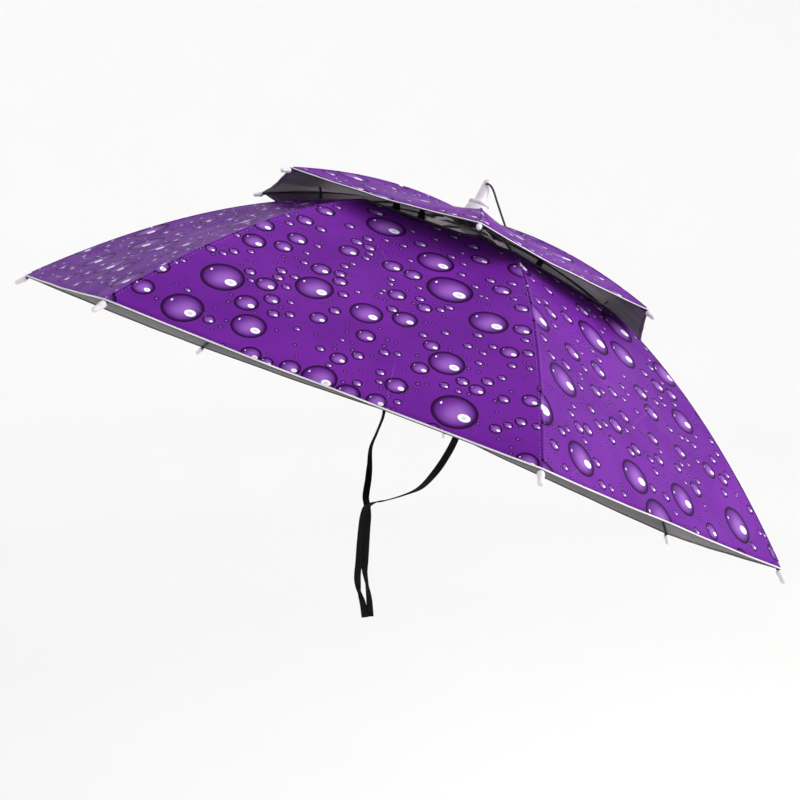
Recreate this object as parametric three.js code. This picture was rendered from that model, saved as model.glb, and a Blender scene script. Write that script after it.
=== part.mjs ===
// A worn umbrella hat: a seven-rib main canopy with an open vent, a small top canopy over it,
// a headband carried by stretchers, a finial with a cord loop, and a webbing chin strap.
// The hat is drawn about its own upright axis and then leaned back as it is worn.
// Millimetres, +Z up. The origin is the middle of the headband; the wearer faces -Y.
import * as THREE from 'three';

// Frame of ribs
const ribCount = 7;
const ribRadius = 1.6;
const topRibRadius = 1.2;
const stretcherRadius = 1.5;
const stretcherReach = 190;

// Cloth and fits
const clothWall = 1.2;
const gap = 0.3;
const clothFit = 0.6;

// Canopies: rib sizes and the heading of the first rib, counted from the front towards the left
const mainRadius = 475;
const mainRise = 255;
const mainBow = 1.97;
const mainHeading = 14.8;
const ventRadius = 200;
const topRadius = 266;
const topBow = 2;
const topHeading = 52.3;
const ventGap = 35.9;
const layerGap = 10.5;

// Tips, hub and finial
const tipLength = 15;
const tipRadius = 3.4;
const topTipLength = 12;
const topTipRadius = 3;
const hubRadius = 13;
const neckRadius = 6;
const neckHeight = 18;
const hubDrop = 3;
const hubChamfer = 2;
const hubFoot = 0.8;
const finialRadius = 17;
const finialHeight = 50.5;
const finialCordDiameter = 2.6;

// Headband, elastic straps and chin strap
const bandLength = 196;
const bandBreadth = 158.5;
const bandTall = 30;
const bandWall = 2.5;
const bandHeight = 60;
const stretcherSeat = 0.75;
const elasticWidth = 8.5;
const elasticWall = 1;
const elasticHold = 12;
const elasticOverhang = 3;
const elasticBend = 6;
const strapWidth = 8.5;
const strapWall = 1.4;
const wornTilt = 27.1;

// How far the cloth sinks between two ribs: shares of the canopy's radius, by share of the way out
const mainHollow = [
  { out: 0, depth: 0 },
  { out: 0.42, depth: 0 },
  { out: 0.72, depth: 0.014 },
  { out: 1, depth: 0.004 },
];
const topHollow = [
  { out: 0, depth: 0 },
  { out: 0.5, depth: 0.03 },
  { out: 1, depth: 0.012 },
];

// How far each main rib's end lies over the regular line, which the rib leaves at the vent
const mainLifts = [0, 0, 0, -5, 22, 3, 0];

// Elastic straps over the vent: the main gore, the share of the way across it, and how far past the
// vent's edge the strap's upper end reaches
const ventStraps = [
  { gore: 0, across: 0.2, reach: 30 },
  { gore: 0, across: 0.37, reach: 30 },
  { gore: 1, across: 0.24, reach: 9 },
  { gore: 2, across: 0.24, reach: 9 },
  { gore: 3, across: 0.24, reach: 9 },
  { gore: 4, across: 0.24, reach: 9 },
  { gore: 5, across: 0.24, reach: 9 },
  { gore: 6, across: 0.24, reach: 9 },
];

// How finely the solids are drawn
const facets = {
  rodSides: 8,
  mainRibSteps: 12,
  topRibSteps: 8,
  ribPoints: 9,
  goreRows: 9,
  goreColumns: 7,
  topRows: 7,
  topColumns: 6,
  lathe: 18,
  tipLathe: 9,
  oval: 40,
  cordSteps: 18,
  strapSpan: 3,
  elasticSteps: 7,
};

// Rounded tip of a rib: shares of the tip's length and radius
const tipProfile = [
  { along: 0, wide: 0.8 },
  { along: 0.12, wide: 1 },
  { along: 0.3, wide: 1 },
  { along: 0.42, wide: 0.8 },
  { along: 0.8, wide: 0.86 },
  { along: 0.94, wide: 0.6 },
  { along: 1, wide: 0.25 },
];

// Finial: shares of its height and radius, from the skirt up to the nose
const finialProfile = [
  { up: 0, wide: 1 },
  { up: 0.22, wide: 0.86 },
  { up: 0.315, wide: 0.74 },
  { up: 0.335, wide: 0.79 },
  { up: 0.395, wide: 0.78 },
  { up: 0.41, wide: 0.47 },
  { up: 0.9, wide: 0.305 },
  { up: 0.975, wide: 0.2 },
  { up: 1, wide: 0.07 },
];

// Finial cord, in the hat's upright frame: from beside the nose, over and down to the top canopy
const finialCordRoute = [
  [5.1, -4.8, 309.9],
  [7.7, -3, 310],
  [9.5, 0.6, 308.4],
  [10.8, 5.4, 304.7],
  [12.2, 12.2, 297.9],
  [13.9, 19.3, 290.6],
  [15.5, 26.4, 283.5],
  [17.5, 32.4, 277],
  [19.7, 38.6, 270.3],
  [21, 41.6, 267.1],
];

// Chin strap, wearer's left: from the headband past the ear, under the chin and down its tail.
// turn is how far the webbing is turned about its own run, in degrees.
const leftStrapRoute = [
  { at: [80.2, 12, -2], turn: 0 },
  { at: [80, 12.5, -18], turn: 0 },
  { at: [77, 13, -44], turn: 20 },
  { at: [72, 9, -67], turn: 32 },
  { at: [69, -4, -89], turn: 34 },
  { at: [65, -16.5, -106], turn: 30 },
  { at: [52, -28, -125.5], turn: 15 },
  { at: [36, -41.5, -136.5], turn: 0 },
  { at: [20, -56, -144.5], turn: 0 },
  { at: [9, -65, -148.5], turn: 6 },
  { at: [1.5, -70.5, -155], turn: 24 },
  { at: [-2.4, -73, -168], turn: 37 },
  { at: [-4, -74.6, -184], turn: 37 },
  { at: [-5, -76.6, -206], turn: 37 },
  { at: [-5.9, -77.8, -226], turn: 37 },
  { at: [-7.1, -79.4, -250], turn: 30 },
  { at: [-5.7, -77.6, -268], turn: -35 },
  { at: [-3.2, -74.2, -284], turn: 5 },
  { at: [-1.7, -72.3, -302], turn: 37 },
];

// Wearer's right: the hidden side takes the same way round, mirrored, down to its own tail
const rightStrapRoute = [
  { at: [-80.2, 12, -2], turn: 0 },
  { at: [-80, 12.5, -18], turn: 0 },
  { at: [-77, 13, -44], turn: -20 },
  { at: [-72, 9, -67], turn: -32 },
  { at: [-69, -4, -89], turn: -34 },
  { at: [-65, -16.5, -106], turn: -30 },
  { at: [-52, -28, -125.5], turn: -15 },
  { at: [-36, -41.5, -136.5], turn: 0 },
  { at: [-21, -55, -144.5], turn: 0 },
  { at: [-11, -63, -149], turn: 6 },
  { at: [-3.8, -66.2, -156], turn: 24 },
  { at: [-1.4, -67, -169], turn: 37 },
  { at: [-1.9, -68, -184], turn: 37 },
  { at: [-2.6, -69.2, -206], turn: 37 },
  { at: [-3.3, -70.2, -226], turn: 37 },
  { at: [-3.6, -70.8, -240], turn: 70 },
  { at: [-2, -68.6, -259], turn: 100 },
  { at: [-0.6, -66.7, -276], turn: 70 },
  { at: [0.4, -65.6, -302], turn: 37 },
];

const { degToRad } = THREE.MathUtils;

const finishes = {
  cloth: { color: 0x7a35a6, roughness: 0.62, metalness: 0 },
  rod: { color: 0x141416, roughness: 0.38, metalness: 0.1 },
  whitePlastic: { color: 0xeceaf0, roughness: 0.35, metalness: 0 },
  blackPlastic: { color: 0x17171a, roughness: 0.5, metalness: 0 },
  webbing: { color: 0x101013, roughness: 0.85, metalness: 0 },
  cord: { color: 0x0d0d10, roughness: 0.8, metalness: 0 },
};

function namedMesh(name, geometry, finish) {
  const mesh = new THREE.Mesh(geometry, new THREE.MeshStandardMaterial(finishes[finish]));
  mesh.name = name;
  return mesh;
}

// A closed geometry from points and faces of four or three corners, turned to face outwards.
function closedSolid(points, faces) {
  const triangles = faces.flatMap((face) => {
    const fan = [];
    for (let i = 1; i < face.length - 1; i += 1) {
      fan.push([face[0], face[i], face[i + 1]]);
    }
    return fan;
  });
  const volume = triangles.reduce((sum, [a, b, c]) => {
    const crossed = points[b].clone().cross(points[c]);
    return sum + points[a].dot(crossed);
  }, 0);
  const facing = volume < 0 ? triangles.map(([a, b, c]) => [a, c, b]) : triangles;
  const geometry = new THREE.BufferGeometry().setFromPoints(points);
  geometry.setIndex(facing.flat());
  geometry.computeVertexNormals();
  return geometry;
}

// Values of a short table between its rows, eased so that no crease shows at a row.
function tableValue(rows, key, value, at) {
  const next = rows.findIndex((row) => row[key] >= at);
  if (next === 0) {
    return rows[0][value];
  }
  const last = next < 0 ? rows.length - 1 : next;
  const low = rows[last - 1];
  const high = rows[last];
  const share = THREE.MathUtils.smoothstep(at, low[key], high[key]);
  return low[value] + (high[value] - low[value]) * share;
}

// A canopy's regular rib line, as its distance from the axis and its height.
function ribLine(canopy, out) {
  return {
    rho: canopy.radius * out,
    z: canopy.rimHeight + canopy.rise * (1 - out ** canopy.bow),
  };
}

// How far a rib lies over the regular line, and how fast that grows on the way out.
function ribLift(canopy, index, out) {
  const span = 1 - canopy.liftFrom;
  const past = Math.max(out - canopy.liftFrom, 0) / span;
  const lift = canopy.lifts[THREE.MathUtils.euclideanModulo(index, ribCount)];
  return { height: lift * past ** 2, growth: 2 * lift * past / span };
}

function ribNormal(canopy, index, out) {
  const fall = canopy.rise * canopy.bow * out ** (canopy.bow - 1);
  const slope = (fall - ribLift(canopy, index, out).growth) / canopy.radius;
  const length = Math.hypot(slope, 1);
  return { out: slope / length, up: 1 / length };
}

// heading 0 is the front, -Y, and it grows towards the wearer's left, +X.
function polar(heading, rho, z) {
  return new THREE.Vector3(Math.sin(heading) * rho, -Math.cos(heading) * rho, z);
}

function ribHeading(canopy, index) {
  return degToRad(canopy.heading) + (2 * Math.PI * index) / ribCount;
}

// A point on the rib, moved away from the cloth by depth along the rib's normal.
function underRib(canopy, index, out, depth) {
  const line = ribLine(canopy, out);
  const normal = ribNormal(canopy, index, out);
  const z = line.z + ribLift(canopy, index, out).height - normal.up * depth;
  return polar(ribHeading(canopy, index), line.rho - normal.out * depth, z);
}

function normalAt(canopy, index, out) {
  const normal = ribNormal(canopy, index, out);
  return polar(ribHeading(canopy, index), normal.out, normal.up);
}

function clothNormal(canopy, gore, out, across) {
  return normalAt(canopy, gore, out).lerp(normalAt(canopy, gore + 1, out), across).normalize();
}

// The middle of the cloth between rib gore and the next: straight across, sunk by the hollow.
function clothPoint(canopy, gore, out, across) {
  const first = underRib(canopy, gore, out, 0);
  const second = underRib(canopy, gore + 1, out, 0);
  const sunk = tableValue(canopy.hollow, 'out', 'depth', out) * canopy.radius * 4 * across * (1 - across);
  return first.lerp(second, across).addScaledVector(clothNormal(canopy, gore, out, across), -sunk);
}

// One gore: two skins a wall apart with its four edges closed, its seams half a gap off the ribs.
function goreSolid(canopy, gore, from) {
  const rows = facets.goreRows;
  const columns = facets.goreColumns;
  const points = [];
  for (const side of [0.5, -0.5]) {
    for (let row = 0; row <= rows; row += 1) {
      const out = from + ((1 - from) * row) / rows;
      const chord = 2 * canopy.radius * out * Math.sin(Math.PI / ribCount);
      const inset = gap / 2 / chord / Math.cos(Math.PI / ribCount);
      for (let column = 0; column <= columns; column += 1) {
        const across = inset + ((1 - 2 * inset) * column) / columns;
        const normal = clothNormal(canopy, gore, out, across);
        points.push(clothPoint(canopy, gore, out, across).addScaledVector(normal, side * clothWall));
      }
    }
  }
  const at = (skin, row, column) => skin * (rows + 1) * (columns + 1) + row * (columns + 1) + column;
  const faces = [];
  for (let row = 0; row < rows; row += 1) {
    for (let column = 0; column < columns; column += 1) {
      const next = column + 1;
      faces.push([at(0, row, column), at(0, row, next), at(0, row + 1, next), at(0, row + 1, column)]);
      faces.push([at(1, row, column), at(1, row + 1, column), at(1, row + 1, next), at(1, row, next)]);
    }
    faces.push([at(0, row, 0), at(0, row + 1, 0), at(1, row + 1, 0), at(1, row, 0)]);
    faces.push([at(0, row + 1, columns), at(0, row, columns), at(1, row, columns), at(1, row + 1, columns)]);
  }
  for (let column = 0; column < columns; column += 1) {
    faces.push([at(0, 0, column + 1), at(0, 0, column), at(1, 0, column), at(1, 0, column + 1)]);
    faces.push([at(0, rows, column), at(0, rows, column + 1), at(1, rows, column + 1), at(1, rows, column)]);
  }
  return closedSolid(points, faces);
}

// A whole canopy in one piece, round a hole at its middle.
function canopySolid(canopy, from) {
  const rows = facets.topRows;
  const columns = facets.topColumns;
  const around = ribCount * columns;
  const points = [];
  for (const side of [0.5, -0.5]) {
    for (let row = 0; row <= rows; row += 1) {
      const out = from + ((1 - from) * row) / rows;
      for (let step = 0; step < around; step += 1) {
        const gore = Math.floor(step / columns);
        const across = (step % columns) / columns;
        const normal = clothNormal(canopy, gore, out, across);
        points.push(clothPoint(canopy, gore, out, across).addScaledVector(normal, side * clothWall));
      }
    }
  }
  const at = (skin, row, step) => (skin * (rows + 1) + row) * around + (step % around);
  const faces = [];
  for (let step = 0; step < around; step += 1) {
    for (let row = 0; row < rows; row += 1) {
      faces.push([at(0, row, step), at(0, row, step + 1), at(0, row + 1, step + 1), at(0, row + 1, step)]);
      faces.push([at(1, row, step), at(1, row + 1, step), at(1, row + 1, step + 1), at(1, row, step + 1)]);
    }
    faces.push([at(0, 0, step + 1), at(0, 0, step), at(1, 0, step), at(1, 0, step + 1)]);
    faces.push([at(0, rows, step), at(0, rows, step + 1), at(1, rows, step + 1), at(1, rows, step)]);
  }
  return closedSolid(points, faces);
}

// A round rod along a curve through the points.
function rodSolid(points, radius, sides, steps) {
  const section = new THREE.Shape();
  for (let i = 0; i < sides; i += 1) {
    const angle = (2 * Math.PI * i) / sides;
    const corner = [radius * Math.cos(angle), radius * Math.sin(angle)];
    if (i === 0) {
      section.moveTo(...corner);
    } else {
      section.lineTo(...corner);
    }
  }
  section.closePath();
  const extrudePath = new THREE.CatmullRomCurve3(points, false, 'centripetal');
  return new THREE.ExtrudeGeometry(section, { steps, bevelEnabled: false, extrudePath });
}

// A flat band swept through stations; each has its middle and the direction of its width.
function bandSolid(stations, width, wall) {
  const section = [
    [0.5, -0.2],
    [0.5, 0.2],
    [0.42, 0.5],
    [-0.42, 0.5],
    [-0.5, 0.2],
    [-0.5, -0.2],
    [-0.42, -0.5],
    [0.42, -0.5],
  ];
  const points = [];
  stations.forEach((station, index) => {
    const before = stations[Math.max(index - 1, 0)].at;
    const after = stations[Math.min(index + 1, stations.length - 1)].at;
    const run = after.clone().sub(before).normalize();
    const across = station.across.clone().addScaledVector(run, -run.dot(station.across)).normalize();
    const face = run.clone().cross(across);
    for (const [a, b] of section) {
      points.push(station.at.clone().addScaledVector(across, a * width).addScaledVector(face, b * wall));
    }
  });
  const corners = section.length;
  const last = (stations.length - 1) * corners;
  const faces = [
    section.map((_, i) => corners - 1 - i),
    section.map((_, i) => last + i),
  ];
  for (let index = 0; index < stations.length - 1; index += 1) {
    for (let i = 0; i < corners; i += 1) {
      const a = index * corners + i;
      const b = index * corners + ((i + 1) % corners);
      faces.push([a, b, b + corners, a + corners]);
    }
  }
  return closedSolid(points, faces);
}

// Canopies, tied to the sizes above
const mainCanopy = {
  radius: mainRadius,
  rimHeight: 0,
  rise: mainRise,
  bow: mainBow,
  heading: mainHeading,
  hollow: mainHollow,
  lifts: mainLifts,
  liftFrom: ventRadius / mainRadius,
};
const topRimHeight = ribLine(mainCanopy, topRadius / mainRadius).z + ventGap;
const topApex = mainRise + layerGap;
const topCanopy = {
  radius: topRadius,
  rimHeight: topRimHeight,
  rise: topApex - topRimHeight,
  bow: topBow,
  heading: topHeading,
  hollow: topHollow,
  lifts: new Array(ribCount).fill(0),
  liftFrom: 0,
};
const ribDepth = (clothWall / 2 + clothFit + ribRadius) / Math.cos(Math.PI / ribCount);
const topRibDepth = (clothWall / 2 + clothFit + topRibRadius) / Math.cos(Math.PI / ribCount);

// The hub reaches just over the top canopy's ribs.
const hubTop = topApex - topRibDepth + topRibRadius;

function ribPoints(canopy, index, depth) {
  const start = (hubRadius + gap) / canopy.radius;
  const points = [];
  for (let i = 0; i <= facets.ribPoints; i += 1) {
    points.push(underRib(canopy, index, start + ((1 - start) * i) / facets.ribPoints, depth));
  }
  return points;
}

function ribSolid(canopy, index, depth, radius, steps) {
  return rodSolid(ribPoints(canopy, index, depth), radius, facets.rodSides, steps);
}

// The tip beyond a rib's end: it starts a gap after the rod and the edge of the cloth.
function tipSolid(canopy, index, depth, length, radius) {
  const normal = ribNormal(canopy, index, 1);
  const heading = ribHeading(canopy, index);
  const run = polar(heading, normal.up, -normal.out);
  const start = underRib(canopy, index, 1, depth).addScaledVector(run, gap);
  const profile = tipProfile.map(({ along, wide }) => new THREE.Vector2(wide * radius, along * length));
  const closed = [new THREE.Vector2(0, 0), ...profile, new THREE.Vector2(0, length)];
  const geometry = new THREE.LatheGeometry(closed, facets.tipLathe);
  const turn = new THREE.Quaternion().setFromUnitVectors(new THREE.Vector3(0, 1, 0), run);
  geometry.applyQuaternion(turn);
  geometry.translate(start.x, start.y, start.z);
  return geometry;
}

// A stretcher from the headband's outer face up to the underside of a main rib. Each end stands
// off its seat by a gap and by what the slant of the rod's flat end needs.
function stretcherSolid(index) {
  const heading = ribHeading(mainCanopy, index);
  const out = stretcherReach / mainRadius;
  const bandSide = Math.sin(heading) / (bandBreadth / 2);
  const bandFront = Math.cos(heading) / (bandLength / 2);
  const bandReach = 1 / Math.hypot(bandSide, bandFront);
  const footHeight = bandHeight + bandTall * (stretcherSeat - 0.5);
  const ribMiddle = underRib(mainCanopy, index, out, ribDepth);
  const run = ribMiddle.clone().sub(polar(heading, bandReach, footHeight)).normalize();
  const foot = polar(heading, bandReach + gap + stretcherRadius * run.z, footHeight);
  const square = run.dot(normalAt(mainCanopy, index, out));
  const slant = Math.sqrt(1 - square ** 2);
  const standOff = ribRadius + gap + stretcherRadius * slant;
  const head = underRib(mainCanopy, index, out, ribDepth + standOff);
  return rodSolid([foot, foot.clone().lerp(head, 0.5), head], stretcherRadius, facets.rodSides, 1);
}

// An elastic strap from inside the vent's edge to the underside of the top canopy.
function ventStrapSolid({ gore, across, reach }) {
  const hold = clothWall / 2 + clothFit + elasticWall / 2;
  const under = (canopy, slot, out, share) => clothPoint(canopy, slot, out, share)
    .addScaledVector(clothNormal(canopy, slot, out, share), -hold);
  const low = under(mainCanopy, gore, (ventRadius + elasticHold) / mainRadius, across);
  const edge = under(mainCanopy, gore, (ventRadius - elasticOverhang) / mainRadius, across);
  const heading = Math.atan2(low.x, -low.y);
  const pitch = (2 * Math.PI) / ribCount;
  const turns = (heading - degToRad(topHeading)) / pitch;
  const topGore = Math.floor(turns);
  const angle = (turns - topGore) * pitch;
  const share = Math.sin(angle) / (Math.sin(angle) + Math.sin(pitch - angle));
  const chord = Math.cos(pitch / 2) / Math.cos(angle - pitch / 2);
  const topOut = (rho) => rho / chord / topRadius;
  const edgeRho = Math.hypot(edge.x, edge.y);
  const bend = under(topCanopy, topGore, topOut(edgeRho + elasticBend), share);
  const end = under(topCanopy, topGore, topOut(edgeRho + reach), share);
  const rise = new THREE.QuadraticBezierCurve3(edge, bend, end);
  const chordRun = (canopy, slot) => polar(ribHeading(canopy, slot + 0.5) + Math.PI / 2, 1, 0);
  const lowWidth = chordRun(mainCanopy, gore);
  const highWidth = chordRun(topCanopy, topGore);
  const stations = rise.getPoints(facets.elasticSteps).map((at, i) => ({
    at,
    across: lowWidth.clone().lerp(highWidth, i / facets.elasticSteps),
  }));
  stations.unshift({ at: low, across: lowWidth });
  return bandSolid(stations, elasticWidth, elasticWall);
}

function hubSolid() {
  const bottom = mainRise - ribDepth - ribRadius - hubDrop;
  const profile = [
    [0, bottom],
    [hubRadius * hubFoot, bottom],
    [hubRadius, bottom + hubChamfer],
    [hubRadius, hubTop],
    [neckRadius, hubTop],
    [neckRadius, hubTop + neckHeight],
    [0, hubTop + neckHeight],
  ];
  const geometry = new THREE.LatheGeometry(profile.map(([x, y]) => new THREE.Vector2(x, y)), facets.lathe);
  return geometry.rotateX(Math.PI / 2);
}

// The finial sits on the top canopy, over the hub's neck, with a blind bore for it.
function finialSolid() {
  const base = topApex + clothWall / 2 + gap;
  const neckTop = hubTop + neckHeight;
  const bore = neckRadius + gap;
  const skin = finialProfile.map(({ up, wide }) => [wide * finialRadius, base + up * finialHeight]);
  const profile = [
    [0, neckTop + gap],
    [bore, neckTop + gap],
    [bore, base],
    ...skin,
    [0, base + finialHeight],
  ];
  const geometry = new THREE.LatheGeometry(profile.map(([x, y]) => new THREE.Vector2(x, y)), facets.lathe);
  return geometry.rotateX(Math.PI / 2);
}

// An oval band, upright about the hat's axis.
function headbandSolid() {
  const oval = (grow) => new THREE.EllipseCurve(0, 0, bandBreadth / 2 - grow, bandLength / 2 - grow);
  const shape = new THREE.Shape(oval(0).getPoints(facets.oval).slice(0, -1));
  shape.holes.push(new THREE.Path(oval(bandWall).getPoints(facets.oval).slice(0, -1)));
  const geometry = new THREE.ExtrudeGeometry(shape, { depth: bandTall, bevelEnabled: false });
  return geometry.translate(0, 0, bandHeight - bandTall / 2);
}

function chinStrapSolid(route, side) {
  const points = route.map(({ at }) => new THREE.Vector3(...at));
  const curve = new THREE.CatmullRomCurve3(points, false, 'centripetal');
  const spans = route.length - 1;
  const stations = [];
  for (let i = 0; i <= spans * facets.strapSpan; i += 1) {
    const share = i / facets.strapSpan;
    const row = Math.min(Math.floor(share), spans - 1);
    const angle = degToRad(
      THREE.MathUtils.lerp(route[row].turn, route[row + 1].turn, share - row),
    );
    stations.push({
      at: curve.getPoint(share / spans),
      across: new THREE.Vector3(Math.sin(angle), Math.cos(angle), 0),
    });
  }
  return namedMesh(`chin_strap_${side}`, bandSolid(stations, strapWidth, strapWall), 'webbing');
}

// The hat about its own axis
const uprightHat = new THREE.Group();
for (let k = 0; k < ribCount; k += 1) {
  const n = k + 1;
  uprightHat.add(
    namedMesh(`main_gore_${n}`, goreSolid(mainCanopy, k, ventRadius / mainRadius), 'cloth'),
    namedMesh(`main_rib_${n}`, ribSolid(mainCanopy, k, ribDepth, ribRadius, facets.mainRibSteps), 'rod'),
    namedMesh(`rib_tip_${n}`, tipSolid(mainCanopy, k, ribDepth, tipLength, tipRadius), 'whitePlastic'),
    namedMesh(`stretcher_${n}`, stretcherSolid(k), 'rod'),
    namedMesh(`top_rib_${n}`, ribSolid(topCanopy, k, topRibDepth, topRibRadius, facets.topRibSteps), 'rod'),
    namedMesh(
      `top_tip_${n}`,
      tipSolid(topCanopy, k, topRibDepth, topTipLength, topTipRadius),
      'whitePlastic',
    ),
  );
}
ventStraps.forEach((strap, index) => {
  uprightHat.add(namedMesh(`vent_strap_${index + 1}`, ventStrapSolid(strap), 'webbing'));
});
const neckHole = (neckRadius + gap) / Math.cos(Math.PI / ribCount) / topRadius;
const cordPoints = finialCordRoute.map((point) => new THREE.Vector3(...point));
const cordRadius = finialCordDiameter / 2;
uprightHat.add(
  namedMesh('top_canopy', canopySolid(topCanopy, neckHole), 'cloth'),
  namedMesh('hub', hubSolid(), 'blackPlastic'),
  namedMesh('finial', finialSolid(), 'whitePlastic'),
  namedMesh('finial_cord', rodSolid(cordPoints, cordRadius, facets.rodSides, facets.cordSteps), 'cord'),
  namedMesh('headband', headbandSolid(), 'webbing'),
);
uprightHat.position.z = -bandHeight;

// The hat as it is worn, leaning back about the middle of the headband
const wornHat = new THREE.Group();
wornHat.add(uprightHat);
wornHat.rotation.x = -degToRad(wornTilt);

const umbrellaHat = new THREE.Group();
umbrellaHat.add(
  wornHat,
  chinStrapSolid(leftStrapRoute, 'left'),
  chinStrapSolid(rightStrapRoute, 'right'),
);

export default umbrellaHat;
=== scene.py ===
"""An umbrella hat as it is worn: two printed canopies on black ribs, a headband and a chin strap.

Metres, +Z up. The origin is the middle of the headband and the wearer faces -Y. The hat is drawn
about its own upright axis, as the frame was, and then leaned back with the headband in its place.
"""

import logging
import math
from dataclasses import dataclass, field
from enum import Enum

import bpy
from mathutils import Matrix, Vector


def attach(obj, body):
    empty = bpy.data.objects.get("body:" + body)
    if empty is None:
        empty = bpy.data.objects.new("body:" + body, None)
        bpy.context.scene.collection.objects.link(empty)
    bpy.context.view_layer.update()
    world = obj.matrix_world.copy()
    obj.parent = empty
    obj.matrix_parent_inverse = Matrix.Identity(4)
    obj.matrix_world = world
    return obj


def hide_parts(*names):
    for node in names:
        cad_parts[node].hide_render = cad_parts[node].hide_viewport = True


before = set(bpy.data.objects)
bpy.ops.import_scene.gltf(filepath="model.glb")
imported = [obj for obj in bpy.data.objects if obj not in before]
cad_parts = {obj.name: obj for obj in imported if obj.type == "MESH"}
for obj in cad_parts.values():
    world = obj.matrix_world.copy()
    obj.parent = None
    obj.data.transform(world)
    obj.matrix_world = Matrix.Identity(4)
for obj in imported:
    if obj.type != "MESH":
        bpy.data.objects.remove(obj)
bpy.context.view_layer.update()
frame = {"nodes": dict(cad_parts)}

log = logging.getLogger("umbrella_hat")

MM = 0.001
BODY = "root"
RIB_COUNT = 7
PITCH = 2 * math.pi / RIB_COUNT
HALF_PITCH = math.pi / RIB_COUNT
GAP = 0.3 * MM
CLOTH_WALL = 1.2 * MM
CLOTH_FIT = 0.6 * MM
HALF_WALL = CLOTH_WALL / 2

Socket = bpy.types.NodeSocket
Number = float | Socket
Colour = tuple[float, float, float]


class Slot(Enum):
    """The record's material slots."""

    CLOTH = "canopy_cloth"
    LINING = "canopy_lining"
    BINDING = "hem_binding"
    ROD = "rib_rod"
    WHITE_PLASTIC = "white_plastic"
    BLACK_PLASTIC = "black_plastic"
    ELASTIC = "elastic"
    WEBBING = "webbing"
    CORD = "cord"


class Skin(Enum):
    """The two faces of a cloth, as the side of its middle that each lies on."""

    OUTER = 1
    INNER = -1


# Nodes of a material


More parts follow.
